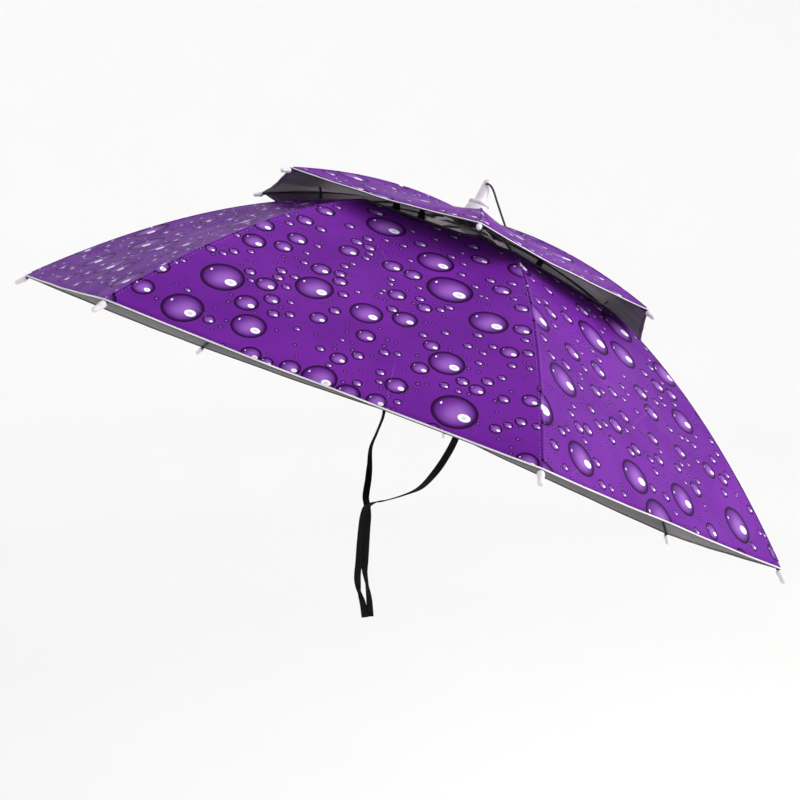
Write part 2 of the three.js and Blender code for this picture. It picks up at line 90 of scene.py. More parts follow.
class NodeSketch:
    """A new material with a Principled shader, and short calls that add its other nodes."""

    def __init__(self, name: str) -> None:
        """Starts the material.

        Args:
            name: the material's name.
        """
        self.material = bpy.data.materials.new(name)
        self.material.use_nodes = True
        self.tree = self.material.node_tree
        self.tree.nodes.clear()
        self.output = self.tree.nodes.new("ShaderNodeOutputMaterial")
        self.shader = self.tree.nodes.new("ShaderNodeBsdfPrincipled")
        self.tree.links.new(self.shader.outputs["BSDF"], self.output.inputs["Surface"])

    def feed(self, socket: Socket, value: Number | Colour | tuple[float, ...]) -> None:
        """Links a socket, or sets its value.

        Args:
            socket: the input to feed.
            value: another node's output, a number or a colour.
        """
        if isinstance(value, bpy.types.NodeSocket):
            self.tree.links.new(value, socket)
        elif isinstance(value, tuple) and socket.type == "RGBA":
            socket.default_value = (*value[:3], 1.0)
        else:
            socket.default_value = value

    def surface(self, **values: Number | Colour) -> None:
        """Feeds the shader's sockets.

        Args:
            **values: socket names with underscores for spaces, and what goes into them.
        """
        for name, value in values.items():
            self.feed(self.shader.inputs[name.replace("_", " ")], value)

    def add(self, kind: str, **settings: object) -> bpy.types.Node:
        """Adds a node.

        Args:
            kind: the node's type.
            **settings: properties to set on it.

        Returns:
            The node.
        """
        node = self.tree.nodes.new(kind)
        for name, value in settings.items():
            setattr(node, name, value)
        return node

    def maths(self, operation: str, *values: Number) -> Socket:
        """Adds a Math node.

        Args:
            operation: the node's operation.
            *values: its inputs in order.

        Returns:
            The result.
        """
        node = self.add("ShaderNodeMath", operation=operation)
        for socket, value in zip(node.inputs, values):
            self.feed(socket, value)
        return node.outputs[0]

    def vectors(
        self, operation: str, *values: Socket | tuple[float, float, float], scale: Number = 1.0
    ) -> Socket:
        """Adds a Vector Math node.

        Args:
            operation: the node's operation.
            *values: its vectors in order.
            scale: the factor of SCALE.

        Returns:
            The vector, or the number where the operation gives one.
        """
        node = self.add("ShaderNodeVectorMath", operation=operation)
        for socket, value in zip(node.inputs, values):
            self.feed(socket, value)
        if operation == "SCALE":
            self.feed(node.inputs["Scale"], scale)
        gives_number = operation in ("LENGTH", "DISTANCE", "DOT_PRODUCT")
        return node.outputs["Value" if gives_number else "Vector"]

    def eased(
        self, value: Number, low: Number, high: Number, start: Number = 0.0, end: Number = 1.0
    ) -> Socket:
        """Maps a value smoothly.

        Args:
            value: the value.
            low: where the ramp starts.
            high: where it ends.
            start: the result at low.
            end: the result at high.

        Returns:
            The result.
        """
        node = self.add("ShaderNodeMapRange", interpolation_type="SMOOTHSTEP")
        for socket, part in zip(node.inputs, (value, low, high, start, end)):
            self.feed(socket, part)
        return node.outputs["Result"]

    def mixed(self, share: Number, first: Socket | Colour, second: Socket | Colour) -> Socket:
        """Mixes two colours.

        Args:
            share: how much of the second shows.
            first: the colour at 0.
            second: the colour at 1.

        Returns:
            The colour.
        """
        node = self.add("ShaderNodeMix", data_type="RGBA")
        self.feed(node.inputs[0], share)
        self.feed(node.inputs[6], first)
        self.feed(node.inputs[7], second)
        return node.outputs[2]

    def noise(self, place: Socket, scale: float, detail: float = 2.0, roughness: float = 0.5) -> Socket:
        """Adds a noise texture.

        Args:
            place: where it is read.
            scale: how fine it is.
            detail: how many octaves it has.
            roughness: how strong the finer octaves are.

        Returns:
            Its value.
        """
        node = self.add("ShaderNodeTexNoise")
        self.feed(node.inputs["Vector"], place)
        for name, value in (("Scale", scale), ("Detail", detail), ("Roughness", roughness)):
            node.inputs[name].default_value = value
        return node.outputs["Fac"]

    def voronoi(
        self, place: Socket, scale: float, feature: str = "F1", scatter: float = 1.0
    ) -> bpy.types.Node:
        """Adds a flat cell texture.

        Args:
            place: where it is read.
            scale: cells in a metre.
            feature: the node's feature.
            scatter: how far the cells are from an even grid, from 0 to 1.

        Returns:
            The node.
        """
        node = self.add("ShaderNodeTexVoronoi", voronoi_dimensions="2D", feature=feature)
        self.feed(node.inputs["Vector"], place)
        node.inputs["Scale"].default_value = scale
        node.inputs["Randomness"].default_value = scatter
        return node

    def uv(self, name: str = "run") -> Socket:
        """The coordinates of a UV map, in metres."""
        return self.add("ShaderNodeUVMap", uv_map=name).outputs["UV"]

    def object_place(self) -> Socket:
        """The object's own coordinates, in metres."""
        return self.add("ShaderNodeTexCoord").outputs["Object"]

    def parts_of(self, vector: Socket) -> tuple[Socket, Socket, Socket]:
        """The three parts of a vector."""
        outputs = self.add_linked("ShaderNodeSeparateXYZ", vector).outputs
        return outputs[0], outputs[1], outputs[2]

    def add_linked(self, kind: str, value: Socket) -> bpy.types.Node:
        """Adds a node with its first input linked.

        Args:
            kind: the node's type.
            value: what goes into its first input.

        Returns:
            The node.
        """
        node = self.add(kind)
        self.feed(node.inputs[0], value)
        return node

    def bumped(
        self, height: Socket, distance: float, strength: float = 1.0, under: Socket | None = None
    ) -> Socket:
        """Adds a bump.

        Args:
            height: the relief, from 0 to 1.
            distance: the relief's depth in metres.
            strength: how much of it shows.
            under: the normal of a coarser bump below it.

        Returns:
            The normal.
        """
        node = self.add("ShaderNodeBump")
        self.feed(node.inputs["Height"], height)
        node.inputs["Distance"].default_value = distance
        node.inputs["Strength"].default_value = strength
        if under is not None:
            self.feed(node.inputs["Normal"], under)
        return node.outputs["Normal"]

    def weave(self, place: Socket, threads: float) -> Socket:
        """A plain weave as relief.

        Args:
            place: flat coordinates in metres.
            threads: threads in a metre.

        Returns:
            Its height, from 0 to 1.
        """
        across, along, _ = self.parts_of(self.vectors("SCALE", place, scale=threads * math.pi))
        warp = self.maths("SINE", across)
        weft = self.maths("SINE", along)
        product = self.maths("MULTIPLY", warp, weft)
        return self.maths("MULTIPLY_ADD", product, 0.5, 0.5)


# Finishes


@dataclass(frozen=True)
class DropSize:
    """One size of printed drops: lengths in metres, the rim in shares of the radius."""

    pitch: float
    smallest: float
    largest: float
    share: float
    rim: float
    scatter: float = 1.0


@dataclass(frozen=True)
class DropPrint:
    """Satin polyester cloth, printed all over with round water drops of several sizes."""

    name: str = "printed_cloth"
    ground: Colour = (0.155, 0.018, 0.310)
    ground_deep: Colour = (0.122, 0.012, 0.255)
    rim: Colour = (0.018, 0.001, 0.030)
    body_deep: Colour = (0.112, 0.014, 0.235)
    body_light: Colour = (0.300, 0.115, 0.500)
    glint: Colour = (0.93, 0.91, 0.96)
    glint_heart: Colour = (0.62, 0.62, 0.70)
    light_side: tuple[float, float, float] = (0.88, 0.47, 0.0)
    gleam_at: tuple[float, float, float] = (0.46, 0.16, 0.0)
    gleam_half: tuple[float, float, float] = (0.27, 0.23, 1.0)
    spark_at: tuple[float, float, float] = (-0.66, -0.24, 0.0)
    spark_half: tuple[float, float, float] = (0.045, 0.075, 1.0)
    sizes: tuple[DropSize, ...] = (
        DropSize(0.084, 0.0165, 0.0250, 0.92, 0.16, 0.72),
        DropSize(0.042, 0.0078, 0.0130, 0.92, 0.21, 0.85),
        DropSize(0.0225, 0.0034, 0.0068, 0.88, 0.25),
        DropSize(0.0112, 0.0011, 0.0025, 0.62, 0.42),
    )

    def nearest(self, sketch: NodeSketch, place: Socket, size: DropSize) -> tuple[Socket, Socket, Socket]:
        """The drop of one size that is nearest to a place.

        Args:
            sketch: the material.
            place: flat coordinates in metres.
            size: the drops' size.

        Returns:
            The drop's middle, its radius, and 1 where it is printed or 0 where its cell is bare.
        """
        cell = sketch.voronoi(place, 1 / size.pitch, scatter=size.scatter)
        room = sketch.voronoi(place, 1 / size.pitch, "N_SPHERE_RADIUS", size.scatter).outputs["Radius"]
        chance, lot, _ = sketch.parts_of(cell.outputs["Color"])
        wished = sketch.maths("MULTIPLY_ADD", chance, size.largest - size.smallest, size.smallest)
        radius = sketch.maths("MINIMUM", wished, sketch.maths("MULTIPLY", room, size.pitch * 0.97))
        fits = sketch.maths("GREATER_THAN", radius, size.smallest * 0.6)
        printed = sketch.maths("MULTIPLY", sketch.maths("LESS_THAN", lot, size.share), fits)
        return cell.outputs["Position"], radius, printed

    def layer(self, sketch: NodeSketch, place: Socket, index: int, under: Socket) -> Socket:
        """Prints the drops of one size over the colour so far.

        Args:
            sketch: the material.
            place: flat coordinates in metres.
            index: which of the sizes.
            under: the colour so far.

        Returns:
            The colour with these drops on it.
        """
        size = self.sizes[index]
        middle, radius, printed = self.nearest(sketch, place, size)
        for bigger in self.sizes[:index]:
            other, reach, there = self.nearest(sketch, middle, bigger)
            apart = sketch.maths("SUBTRACT", sketch.vectors("DISTANCE", middle, other), reach)
            clear = sketch.maths("GREATER_THAN", apart, sketch.maths("MULTIPLY", radius, 0.85))
            free = sketch.maths("MAXIMUM", clear, sketch.maths("SUBTRACT", 1.0, there))
            printed = sketch.maths("MULTIPLY", printed, free)
        away = sketch.vectors("SUBTRACT", place, middle)
        local = sketch.vectors("SCALE", away, scale=sketch.maths("DIVIDE", 1.0, radius))
        distance = sketch.vectors("LENGTH", local)
        lit = sketch.vectors("DOT_PRODUCT", local, self.light_side)
        glow = sketch.maths("MULTIPLY", sketch.eased(distance, 0.92, 0.15), sketch.eased(lit, -1.0, 0.3))
        body = sketch.mixed(glow, self.body_deep, self.body_light)
        body = sketch.mixed(sketch.eased(distance, 1 - 1.8 * size.rim, 1 - 0.45 * size.rim), body, self.rim)
        spots = ((self.gleam_at, self.gleam_half), (self.spark_at, self.spark_half))
        for spot, half in spots if size is not self.sizes[-1] else ():
            shifted = sketch.vectors("DIVIDE", sketch.vectors("SUBTRACT", local, spot), half)
            reach = sketch.vectors("LENGTH", shifted)
            tone = sketch.mixed(sketch.eased(reach, 0.2, 0.75), self.glint_heart, self.glint)
            body = sketch.mixed(sketch.eased(reach, 1.05, 0.9), body, tone)
        inside = sketch.maths("MULTIPLY", sketch.eased(distance, 1.0, 0.955), printed)
        return sketch.mixed(inside, under, body)

    def material(self) -> bpy.types.Material:
        """Makes the material.

        Returns:
            The material, for meshes with the UV maps print and seam.
        """
        sketch = NodeSketch(self.name)
        place = sketch.uv("print")
        cloudy = sketch.noise(place, 9.0)
        colour = sketch.mixed(sketch.eased(cloudy, 0.3, 0.7), self.ground_deep, self.ground)
        for index in reversed(range(len(self.sizes))):
            colour = self.layer(sketch, place, index, colour)
        crease_gap = sketch.voronoi(place, 5.2, "DISTANCE_TO_EDGE").outputs["Distance"]
        broken = sketch.eased(sketch.noise(place, 11.0), 0.50, 0.62)
        crease = sketch.maths("MULTIPLY", sketch.eased(crease_gap, 0.005, 0.0), broken)
        from_seam, along, _ = sketch.parts_of(sketch.uv("seam"))
        gathered = sketch.maths("SINE", sketch.maths("MULTIPLY", along, 2 * math.pi / 0.011))
        fade = sketch.eased(from_seam, 0.014, 0.0)
        pucker = sketch.maths("MULTIPLY_ADD", sketch.maths("MULTIPLY", gathered, fade), 0.5, 0.5)
        slack = sketch.noise(place, 22.0, 3.0)
        # Faint painted highlight along the crease lines, in the glint colour.
        colour = sketch.mixed(sketch.maths("MULTIPLY", crease, 0.035), colour, self.glint)
        coarse = sketch.bumped(slack, 0.0016, 0.35)
        coarse = sketch.bumped(crease, 0.0002, 0.2, coarse)
        coarse = sketch.bumped(pucker, 0.0007, 0.5, coarse)
        normal = sketch.bumped(sketch.weave(place, 1900.0), 0.00005, 0.5, coarse)
        sketch.surface(
            Base_Color=colour,
            Roughness=sketch.eased(slack, 0.3, 0.7, 0.46, 0.58),
            Normal=normal,
            Specular_IOR_Level=0.05,
        )
        return sketch.material


@dataclass(frozen=True)
class WovenCloth:
    """Plain woven cloth or tape in one colour, with its weave, small stains and sheen."""

    name: str
    colour: Colour
    worn: Colour
    threads: float = 1500.0
    relief: float = 0.00008
    roughness: float = 0.75
    sheen: float = 0.2

    def material(self) -> bpy.types.Material:
        """Makes the material.

        Returns:
            The material, for meshes with the UV map run.
        """
        sketch = NodeSketch(self.name)
        place = sketch.uv()
        blotch = sketch.noise(sketch.object_place(), 34.0, 4.0, 0.6)
        fine = sketch.noise(place, 900.0, 1.0)
        share = sketch.maths("MULTIPLY_ADD", fine, 0.35, sketch.maths("MULTIPLY", blotch, 0.65))
        slack = sketch.bumped(sketch.noise(place, 26.0, 3.0), 0.0016, 0.3)
        normal = sketch.bumped(sketch.weave(place, self.threads), self.relief, 0.7, slack)
        sketch.surface(
            Base_Color=sketch.mixed(sketch.eased(share, 0.35, 0.65), self.worn, self.colour),
            Roughness=sketch.eased(blotch, 0.3, 0.7, self.roughness - 0.07, self.roughness + 0.05),
            Normal=normal,
            Sheen_Weight=self.sheen,
        )
        return sketch.material


@dataclass(frozen=True)
class RibbedElastic:
    """Elastic or webbing with cords along it and fine herringbone threads across."""

    name: str
    colour: Colour
    # worn is the lighter colour of the raised cords and picks: a painted highlight, broken by random fluff.
    worn: Colour
    cords: float = 900.0
    relief: float = 0.00022

    def material(self) -> bpy.types.Material:
        """Makes the material.

        Returns:
            The material, for meshes with the UV map run.
        """
        sketch = NodeSketch(self.name)
        place = sketch.uv()
        across, along, _ = sketch.parts_of(place)
        cord_phase = sketch.maths("MULTIPLY", across, self.cords * 2 * math.pi)
        cord_relief = sketch.maths("MULTIPLY_ADD", sketch.maths("SINE", cord_phase), 0.5, 0.5)
        zigzag = sketch.maths("PINGPONG", across, 0.0011)
        slanted = sketch.maths("MULTIPLY", sketch.maths("ADD", along, zigzag), 1150.0 * 2 * math.pi)
        picks = sketch.maths("MULTIPLY_ADD", sketch.maths("SINE", slanted), 0.5, 0.5)
        height = sketch.maths("MULTIPLY_ADD", cord_relief, 0.55, sketch.maths("MULTIPLY", picks, 0.45))
        fluff = sketch.noise(sketch.object_place(), 260.0, 3.0)
        # Painted highlight: the worn colour goes on the raised cords and picks, mixed by random fluff.
        sketch.surface(
            Base_Color=sketch.mixed(sketch.maths("MULTIPLY", height, fluff), self.colour, self.worn),
            Roughness=sketch.eased(fluff, 0.3, 0.7, 0.72, 0.9),
            Normal=sketch.bumped(height, self.relief, 0.8),
            Specular_IOR_Level=0.08,
        )
        return sketch.material


@dataclass(frozen=True)
class Lacquer:
    """Black lacquer on steel rods, rubbed and dusty in places."""

    name: str = "rod_lacquer"
    colour: Colour = (0.008, 0.008, 0.010)
    rubbed: Colour = (0.045, 0.043, 0.048)

    def material(self) -> bpy.types.Material:
        """Makes the material.

        Returns:
            The material.
        """
        sketch = NodeSketch(self.name)
        place = sketch.object_place()
        patches = sketch.noise(place, 60.0, 5.0, 0.62)
        specks = sketch.noise(place, 900.0, 2.0)
        sketch.surface(
            Base_Color=sketch.mixed(sketch.eased(patches, 0.52, 0.78), self.colour, self.rubbed),
            Roughness=sketch.eased(patches, 0.3, 0.75, 0.26, 0.48),
            Normal=sketch.bumped(specks, 0.00006, 0.35),
            Coat_Weight=0.3,
            Coat_Roughness=0.2,
        )
        return sketch.material


@dataclass(frozen=True)
class MouldedPlastic:
    """Injection-moulded plastic with a fine grain, flow marks and a little dirt."""

    name: str
    colour: Colour
    grime: Colour
    roughness: float = 0.34
    glow: float = 0.0

    def material(self) -> bpy.types.Material:
        """Makes the material.

        Returns:
            The material.
        """
        sketch = NodeSketch(self.name)
        place = sketch.object_place()
        flow = sketch.noise(place, 120.0, 4.0, 0.6)
        grain = sketch.noise(place, 1600.0, 2.0)
        sketch.surface(
            Base_Color=sketch.mixed(sketch.eased(flow, 0.40, 0.80), self.colour, self.grime),
            Roughness=sketch.eased(flow, 0.3, 0.7, self.roughness - 0.05, self.roughness + 0.09),
            Normal=sketch.bumped(grain, 0.00005, 0.4, sketch.bumped(flow, 0.0004, 0.25)),
            Subsurface_Weight=self.glow,
            Subsurface_Scale=0.004,
            Subsurface_Radius=(1.0, 0.95, 1.0),
        )
        return sketch.material


@dataclass(frozen=True)
class BraidedCord:
    """Round black cord with a braided cover."""

    name: str = "braided_cord"
    colour: Colour = (0.006, 0.006, 0.008)
    # worn is the lighter colour of the strand ridges: a painted highlight.
    worn: Colour = (0.035, 0.034, 0.04)
    strand: float = 0.0011

    def material(self) -> bpy.types.Material:
        """Makes the material.

        Returns:
            The material, for meshes with the UV map run.
        """
        sketch = NodeSketch(self.name)
        around, along, _ = sketch.parts_of(sketch.uv())
        left = sketch.maths("ADD", along, around)
        right = sketch.maths("SUBTRACT", along, around)
        ridges = [
            sketch.maths("SINE", sketch.maths("MULTIPLY", phase, 2 * math.pi / self.strand))
            for phase in (left, right)
        ]
        height = sketch.maths("MULTIPLY_ADD", sketch.maths("MAXIMUM", *ridges), 0.5, 0.5)
        # Painted highlight on the strand ridges and painted shade in the grooves between them.
        sketch.surface(
            Base_Color=sketch.mixed(height, self.colour, self.worn),
            Roughness=sketch.eased(height, 0.0, 1.0, 0.9, 0.7),
            Normal=sketch.bumped(height, 0.0002, 0.8),
            Sheen_Weight=0.2,
        )
        return sketch.material


@dataclass
class Wardrobe:
    """Every finish of the hat, made once and shared by its pieces."""

    made: dict[Slot | str, bpy.types.Material] = field(default_factory=dict)

    def __post_init__(self) -> None:
        """Makes the materials."""
        white_binding = WovenCloth("hem_tape_white", (0.80, 0.78, 0.81), (0.60, 0.58, 0.62), 1100.0)
        white_plastic = MouldedPlastic("white_plastic", (0.74, 0.71, 0.76), (0.58, 0.54, 0.60), 0.3, 0.1)
        black_plastic = MouldedPlastic("black_plastic", (0.012, 0.012, 0.014), (0.03, 0.03, 0.034), 0.45)
        self.made = {
            Slot.CLOTH: DropPrint().material(),
            Slot.LINING: WovenCloth("coated_lining", (0.175, 0.160, 0.170), (0.135, 0.122, 0.132)).material(),
            Slot.BINDING: white_binding.material(),
            # The top canopy's lining: the same lining painted darker and purple, as painted shade and painted purple
            # light through the printed cloth.
            "top_lining_painted_shade": WovenCloth("top_lining_painted_shade", (0.064, 0.034, 0.068), (0.048, 0.025, 0.052)).material(),
            "rosette": WovenCloth("rosette_cloth", (0.29, 0.240, 0.270), (0.22, 0.180, 0.205)).material(),
            "inner_tape": WovenCloth("hem_tape_black", (0.010, 0.009, 0.012), (0.026, 0.024, 0.03)).material(),
            "pale_thread": WovenCloth("pale_thread", (0.50, 0.47, 0.54), (0.38, 0.35, 0.43), 3000.0).material(),
            "violet_thread": WovenCloth("violet_thread", (0.34, 0.15, 0.55), (0.24, 0.09, 0.44), 3000.0).material(),
            Slot.ROD: Lacquer().material(),
            Slot.WHITE_PLASTIC: white_plastic.material(),
            Slot.BLACK_PLASTIC: black_plastic.material(),
            Slot.ELASTIC: RibbedElastic("elastic", (0.004, 0.004, 0.005), (0.022, 0.021, 0.025)).material(),
            Slot.WEBBING: RibbedElastic("webbing", (0.005, 0.005, 0.006), (0.024, 0.023, 0.027), 640.0).material(),
            Slot.CORD: BraidedCord().material(),
        }

    def get(self, key: Slot | str) -> bpy.types.Material:
        """The material of a slot or of a trim."""
        return self.made[key]


# Meshes


@dataclass
class Shape:
    """Points, faces and coordinates of a mesh that is being built."""

    points: list[Vector] = field(default_factory=list)
    faces: list[tuple[int, ...]] = field(default_factory=list)
    places: list[tuple[tuple[float, float], ...]] = field(default_factory=list)
    seams: list[tuple[tuple[float, float], ...]] = field(default_factory=list)
    finish: list[int] = field(default_factory=list)

    def face(
        self,
        corners: tuple[int, ...],
        places: tuple[tuple[float, float], ...],
        finish: int = 0,
        seams: tuple[tuple[float, float], ...] | None = None,
    ) -> None:
        """Adds a face.

        Args:
            corners: its points, by index.
            places: the flat coordinates of its corners, in metres.
            finish: which of the object's materials it has.
            seams: how far its corners are from a seam, and along it.
        """
        self.faces.append(corners)
        self.places.append(places)
        self.finish.append(finish)
        self.seams.append(seams or tuple((1.0, 0.0) for _ in corners))

    def build(self, name: str, looks: list[bpy.types.Material]) -> bpy.types.Object:
        """Makes the object and lets it ride on the hat.

        Args:
            name: the piece's name.
            looks: its materials in order.

        Returns:
            The object.
        """
        mesh = bpy.data.meshes.new(name)
        mesh.from_pydata([worn(point) for point in self.points], [], self.faces)
        for uv_name, values in (("run", self.places), ("print", self.places), ("seam", self.seams)):
            layer = mesh.uv_layers.new(name=uv_name)
            flat_values = [number for corners in values for pair in corners for number in pair]
            layer.data.foreach_set("uv", flat_values)
        for look in looks:
            mesh.materials.append(look)
        mesh.polygons.foreach_set("material_index", self.finish)
        mesh.polygons.foreach_set("use_smooth", [True] * len(self.faces))
        mesh.update()
        obj = bpy.data.objects.new(name, mesh)
        bpy.context.scene.collection.objects.link(obj)
        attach(obj, BODY)
        return obj


WORN_TILT = math.radians(27.1)
BAND_HEIGHT = 60 * MM
LEAN = Matrix.Rotation(-WORN_TILT, 4, "X") @ Matrix.Translation((0, 0, -BAND_HEIGHT))


def worn(point: Vector) -> Vector:
    """A point of the upright hat in the place that it has when the hat is worn."""
    return LEAN @ point


def upright(point: Vector) -> Vector:
    """A point of the worn hat's frame, as it lies in the upright hat's."""
    return LEAN.inverted() @ point


@dataclass
class Station:
    """One cross-section of a swept piece: its middle and two directions across it."""

    at: Vector
    across: Vector
    face: Vector
    grow: float = 1.0


def stations_along(points: list[Vector], across: list[Vector]) -> list[Station]:
    """Squares the given directions to the run of a line.

    Args:
        points: the line.
        across: a direction at each of its points.

    Returns:
        A station at each point.
    """
    stations = []
    last = len(points) - 1
    for index, (point, side) in enumerate(zip(points, across)):
        run = (points[min(index + 1, last)] - points[max(index - 1, 0)]).normalized()
        square = (side - run * run.dot(side)).normalized()
        stations.append(Station(point, square, run.cross(square)))
    return stations


def sweep(shape: Shape, stations: list[Station], section: list[tuple[float, float]], finish: int = 0) -> None:
    """Adds a closed solid that follows stations, with flat ends.

    Args:
        shape: the mesh that it goes into.
        stations: its cross-sections in order.
        section: the cross-section's corners, across and along the face, in metres.
        finish: which of the object's materials it has.
    """
    start = len(shape.points)
    count = len(section)
    edge = [0.0]
    for first, second in zip(section, section[1:] + section[:1]):
        edge.append(edge[-1] + math.dist(first, second))
    run = [0.0]
    for before, after in zip(stations, stations[1:]):
        run.append(run[-1] + (after.at - before.at).length)
    for station in stations:
        for a, b in section:
            shape.points.append(station.at + (station.across * a + station.face * b) * station.grow)
    for row in range(len(stations) - 1):
        for i in range(count):
            a = start + row * count + i
            b = start + row * count + (i + 1) % count
            u0, u1, v0, v1 = edge[i], edge[i + 1], run[row], run[row + 1]
            places = ((u0, v0), (u1, v0), (u1, v1), (u0, v1))
            shape.face((a, b, b + count, a + count), places, finish)
    last = start + (len(stations) - 1) * count
    flat = tuple(section)
    shape.face(tuple(start + i for i in reversed(range(count))), tuple(reversed(flat)), finish)
    shape.face(tuple(last + i for i in range(count)), flat, finish)


def ring(radius: float, sides: int) -> list[tuple[float, float]]:
    """The corners of a round section.

    Args:
        radius: its radius.
        sides: how many corners it has.

    Returns:
        The corners.
    """
    turns = [2 * math.pi * i / sides for i in range(sides)]
    return [(radius * math.cos(turn), radius * math.sin(turn)) for turn in turns]


def tape_section(width: float, wall: float) -> list[tuple[float, float]]:
    """A flat band's section with rounded edges.

    Args:
        width: its width.
        wall: its thickness.

    Returns:
        The corners.
    """
    shares = [(0.5, 0.0), (0.485, 0.32), (0.45, 0.5), (0.2, 0.5), (-0.2, 0.5), (-0.45, 0.5), (-0.485, 0.32)]
    mirrored = [(-a, -b) for a, b in shares]
    return [(a * width, b * wall) for a, b in shares + mirrored]


def rod(shape: Shape, points: list[Vector], radius: float, sides: int = 14, finish: int = 0) -> None:
    """Adds a round rod through points.

    Args:
        shape: the mesh that it goes into.
        points: its middle line.
        radius: its radius.
        sides: the corners of its section.
        finish: which of the object's materials it has.
    """
    run = (points[-1] - points[0]).normalized()
    side = run.orthogonal().normalized()
    sweep(shape, stations_along(points, [side] * len(points)), ring(radius, sides), finish)


def lathe(
    shape: Shape, base: Vector, run: Vector, profile: list[tuple[float, float]], sides: int = 28, finish: int = 0
) -> None:
    """Adds a turned solid.

    Args:
        shape: the mesh that it goes into.
        base: where its axis starts.
        run: the axis's direction.
        profile: radius and distance along the axis, from one end on the axis to the other.
        sides: how many facets it has round the axis.
        finish: which of the object's materials it has.
    """
    run = run.normalized()
    across = run.orthogonal().normalized()
    other = run.cross(across)
    start = len(shape.points)
    shape.points.append(base + run * profile[0][1])
    for radius, height in profile[1:-1]:
        for a, b in ring(radius, sides):
            shape.points.append(base + run * height + across * a + other * b)
    shape.points.append(base + run * profile[-1][1])
    end = len(shape.points) - 1
    rings = len(profile) - 2
    for i in range(sides):
        here, there = i, (i + 1) % sides
        u0, u1 = i * profile[1][0] * 2 * math.pi / sides, (i + 1) * profile[1][0] * 2 * math.pi / sides
        first = start + 1
        shape.face((start, first + there, first + here), ((u0, 0.0), (u1, profile[1][1]), (u0, profile[1][1])), finish)
        for row in range(rings - 1):
            a = start + 1 + row * sides
            b = a + sides
            low, high = profile[row + 1][1], profile[row + 2][1]
            places = ((u0, low), (u1, low), (u1, high), (u0, high))
            shape.face((a + here, a + there, b + there, b + here), places, finish)
        top = start + 1 + (rings - 1) * sides
        high = profile[-1][1]
        shape.face((top + here, top + there, end), ((u0, high), (u1, high), (u0, high)), finish)


def smooth_line(points: list[Vector], steps: int) -> list[Vector]:
    """A centripetal Catmull-Rom curve through points, as the frame's cords have.

    Args:
        points: the points that it passes through.
        steps: how many steps it takes between two of them.

    Returns:
        Its points.
    """
    ends = [points[0] * 2 - points[1], *points, points[-1] * 2 - points[-2]]
    line = []
    for index in range(len(points) - 1):
        p0, p1, p2, p3 = ends[index : index + 4]
        times = [0.0]
        for a, b in ((p0, p1), (p1, p2), (p2, p3)):
            times.append(times[-1] + math.sqrt((b - a).length))
        t0, t1, t2, t3 = times
        for step in range(steps):
            t = t1 + (t2 - t1) * step / steps
            a1 = p0.lerp(p1, (t - t0) / (t1 - t0))
            a2 = p1.lerp(p2, (t - t1) / (t2 - t1))
            a3 = p2.lerp(p3, (t - t2) / (t3 - t2))
            b1 = a1.lerp(a2, (t - t0) / (t2 - t0))
            b2 = a2.lerp(a3, (t - t1) / (t3 - t1))
            line.append(b1.lerp(b2, (t - t1) / (t2 - t1)))
    line.append(points[-1].copy())
    return line


def stitch(shape: Shape, first: Vector, second: Vector, up: Vector, radius: float, finish: int = 0) -> None:
    """Adds one stitch: a short thread that dips into the cloth at both ends.

    Args:
        shape: the mesh that it goes into.
        first: one end.
        second: the other end.
        up: the cloth's normal there.
        radius: the thread's radius.
        finish: which of the object's materials it has.
    """
    run = second - first
    side = run.cross(up).normalized() * radius
    lift = up.normalized() * radius
    start = len(shape.points)
    shape.points.append(first - lift)
    for share in (0.22, 0.78):
        middle = first + run * share
        shape.points += [middle + side, middle + lift, middle - side, middle - lift]
    shape.points.append(second - lift)
    for i in range(4):
        j = (i + 1) % 4
        u0, u1 = i * radius, (i + 1) * radius
        low, high, end = 0.0, run.length * 0.6, run.length
        shape.face((start, start + 1 + i, start + 1 + j), ((u0, low), (u0, low), (u1, low)), finish)
        quad = (start + 1 + i, start + 5 + i, start + 5 + j, start + 1 + j)
        shape.face(quad, ((u0, low), (u0, high), (u1, high), (u1, low)), finish)
        shape.face((start + 9, start + 5 + j, start + 5 + i), ((u0, end), (u1, high), (u0, high)), finish)


# Cords


@dataclass
class ChinStrap:
    """One half of the chin strap: flat webbing from the headband past the ear and under the chin."""

    side: str
    route: tuple[tuple[float, float, float, float], ...]
    width: float = 8.5 * MM
    wall: float = 1.4 * MM
    steps: int = 8

    def make(self, wardrobe: Wardrobe) -> bpy.types.Object:
        """Args:
            wardrobe: the finishes.

        Returns:
            The piece.
        """
        corners = [Vector(point[:3]) * MM for point in self.route]
        line = smooth_line(corners, self.steps)
        across = []
        for index in range(len(line)):
            row = min(index // self.steps, len(self.route) - 2)
            share = index / self.steps - row
            turn = math.radians(self.route[row][3] * (1 - share) + self.route[row + 1][3] * share)
            across.append(Vector((math.sin(turn), math.cos(turn), 0)))
        shape = Shape()
        stations = stations_along(line, across)
        sweep(shape, stations, tape_section(self.width, self.wall))
        shape.points = [upright(point) for point in shape.points]
        obj = shape.build(f"webbing_{self.side}", [wardrobe.get(Slot.WEBBING)])
        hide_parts(f"chin_strap_{self.side}")
        return obj


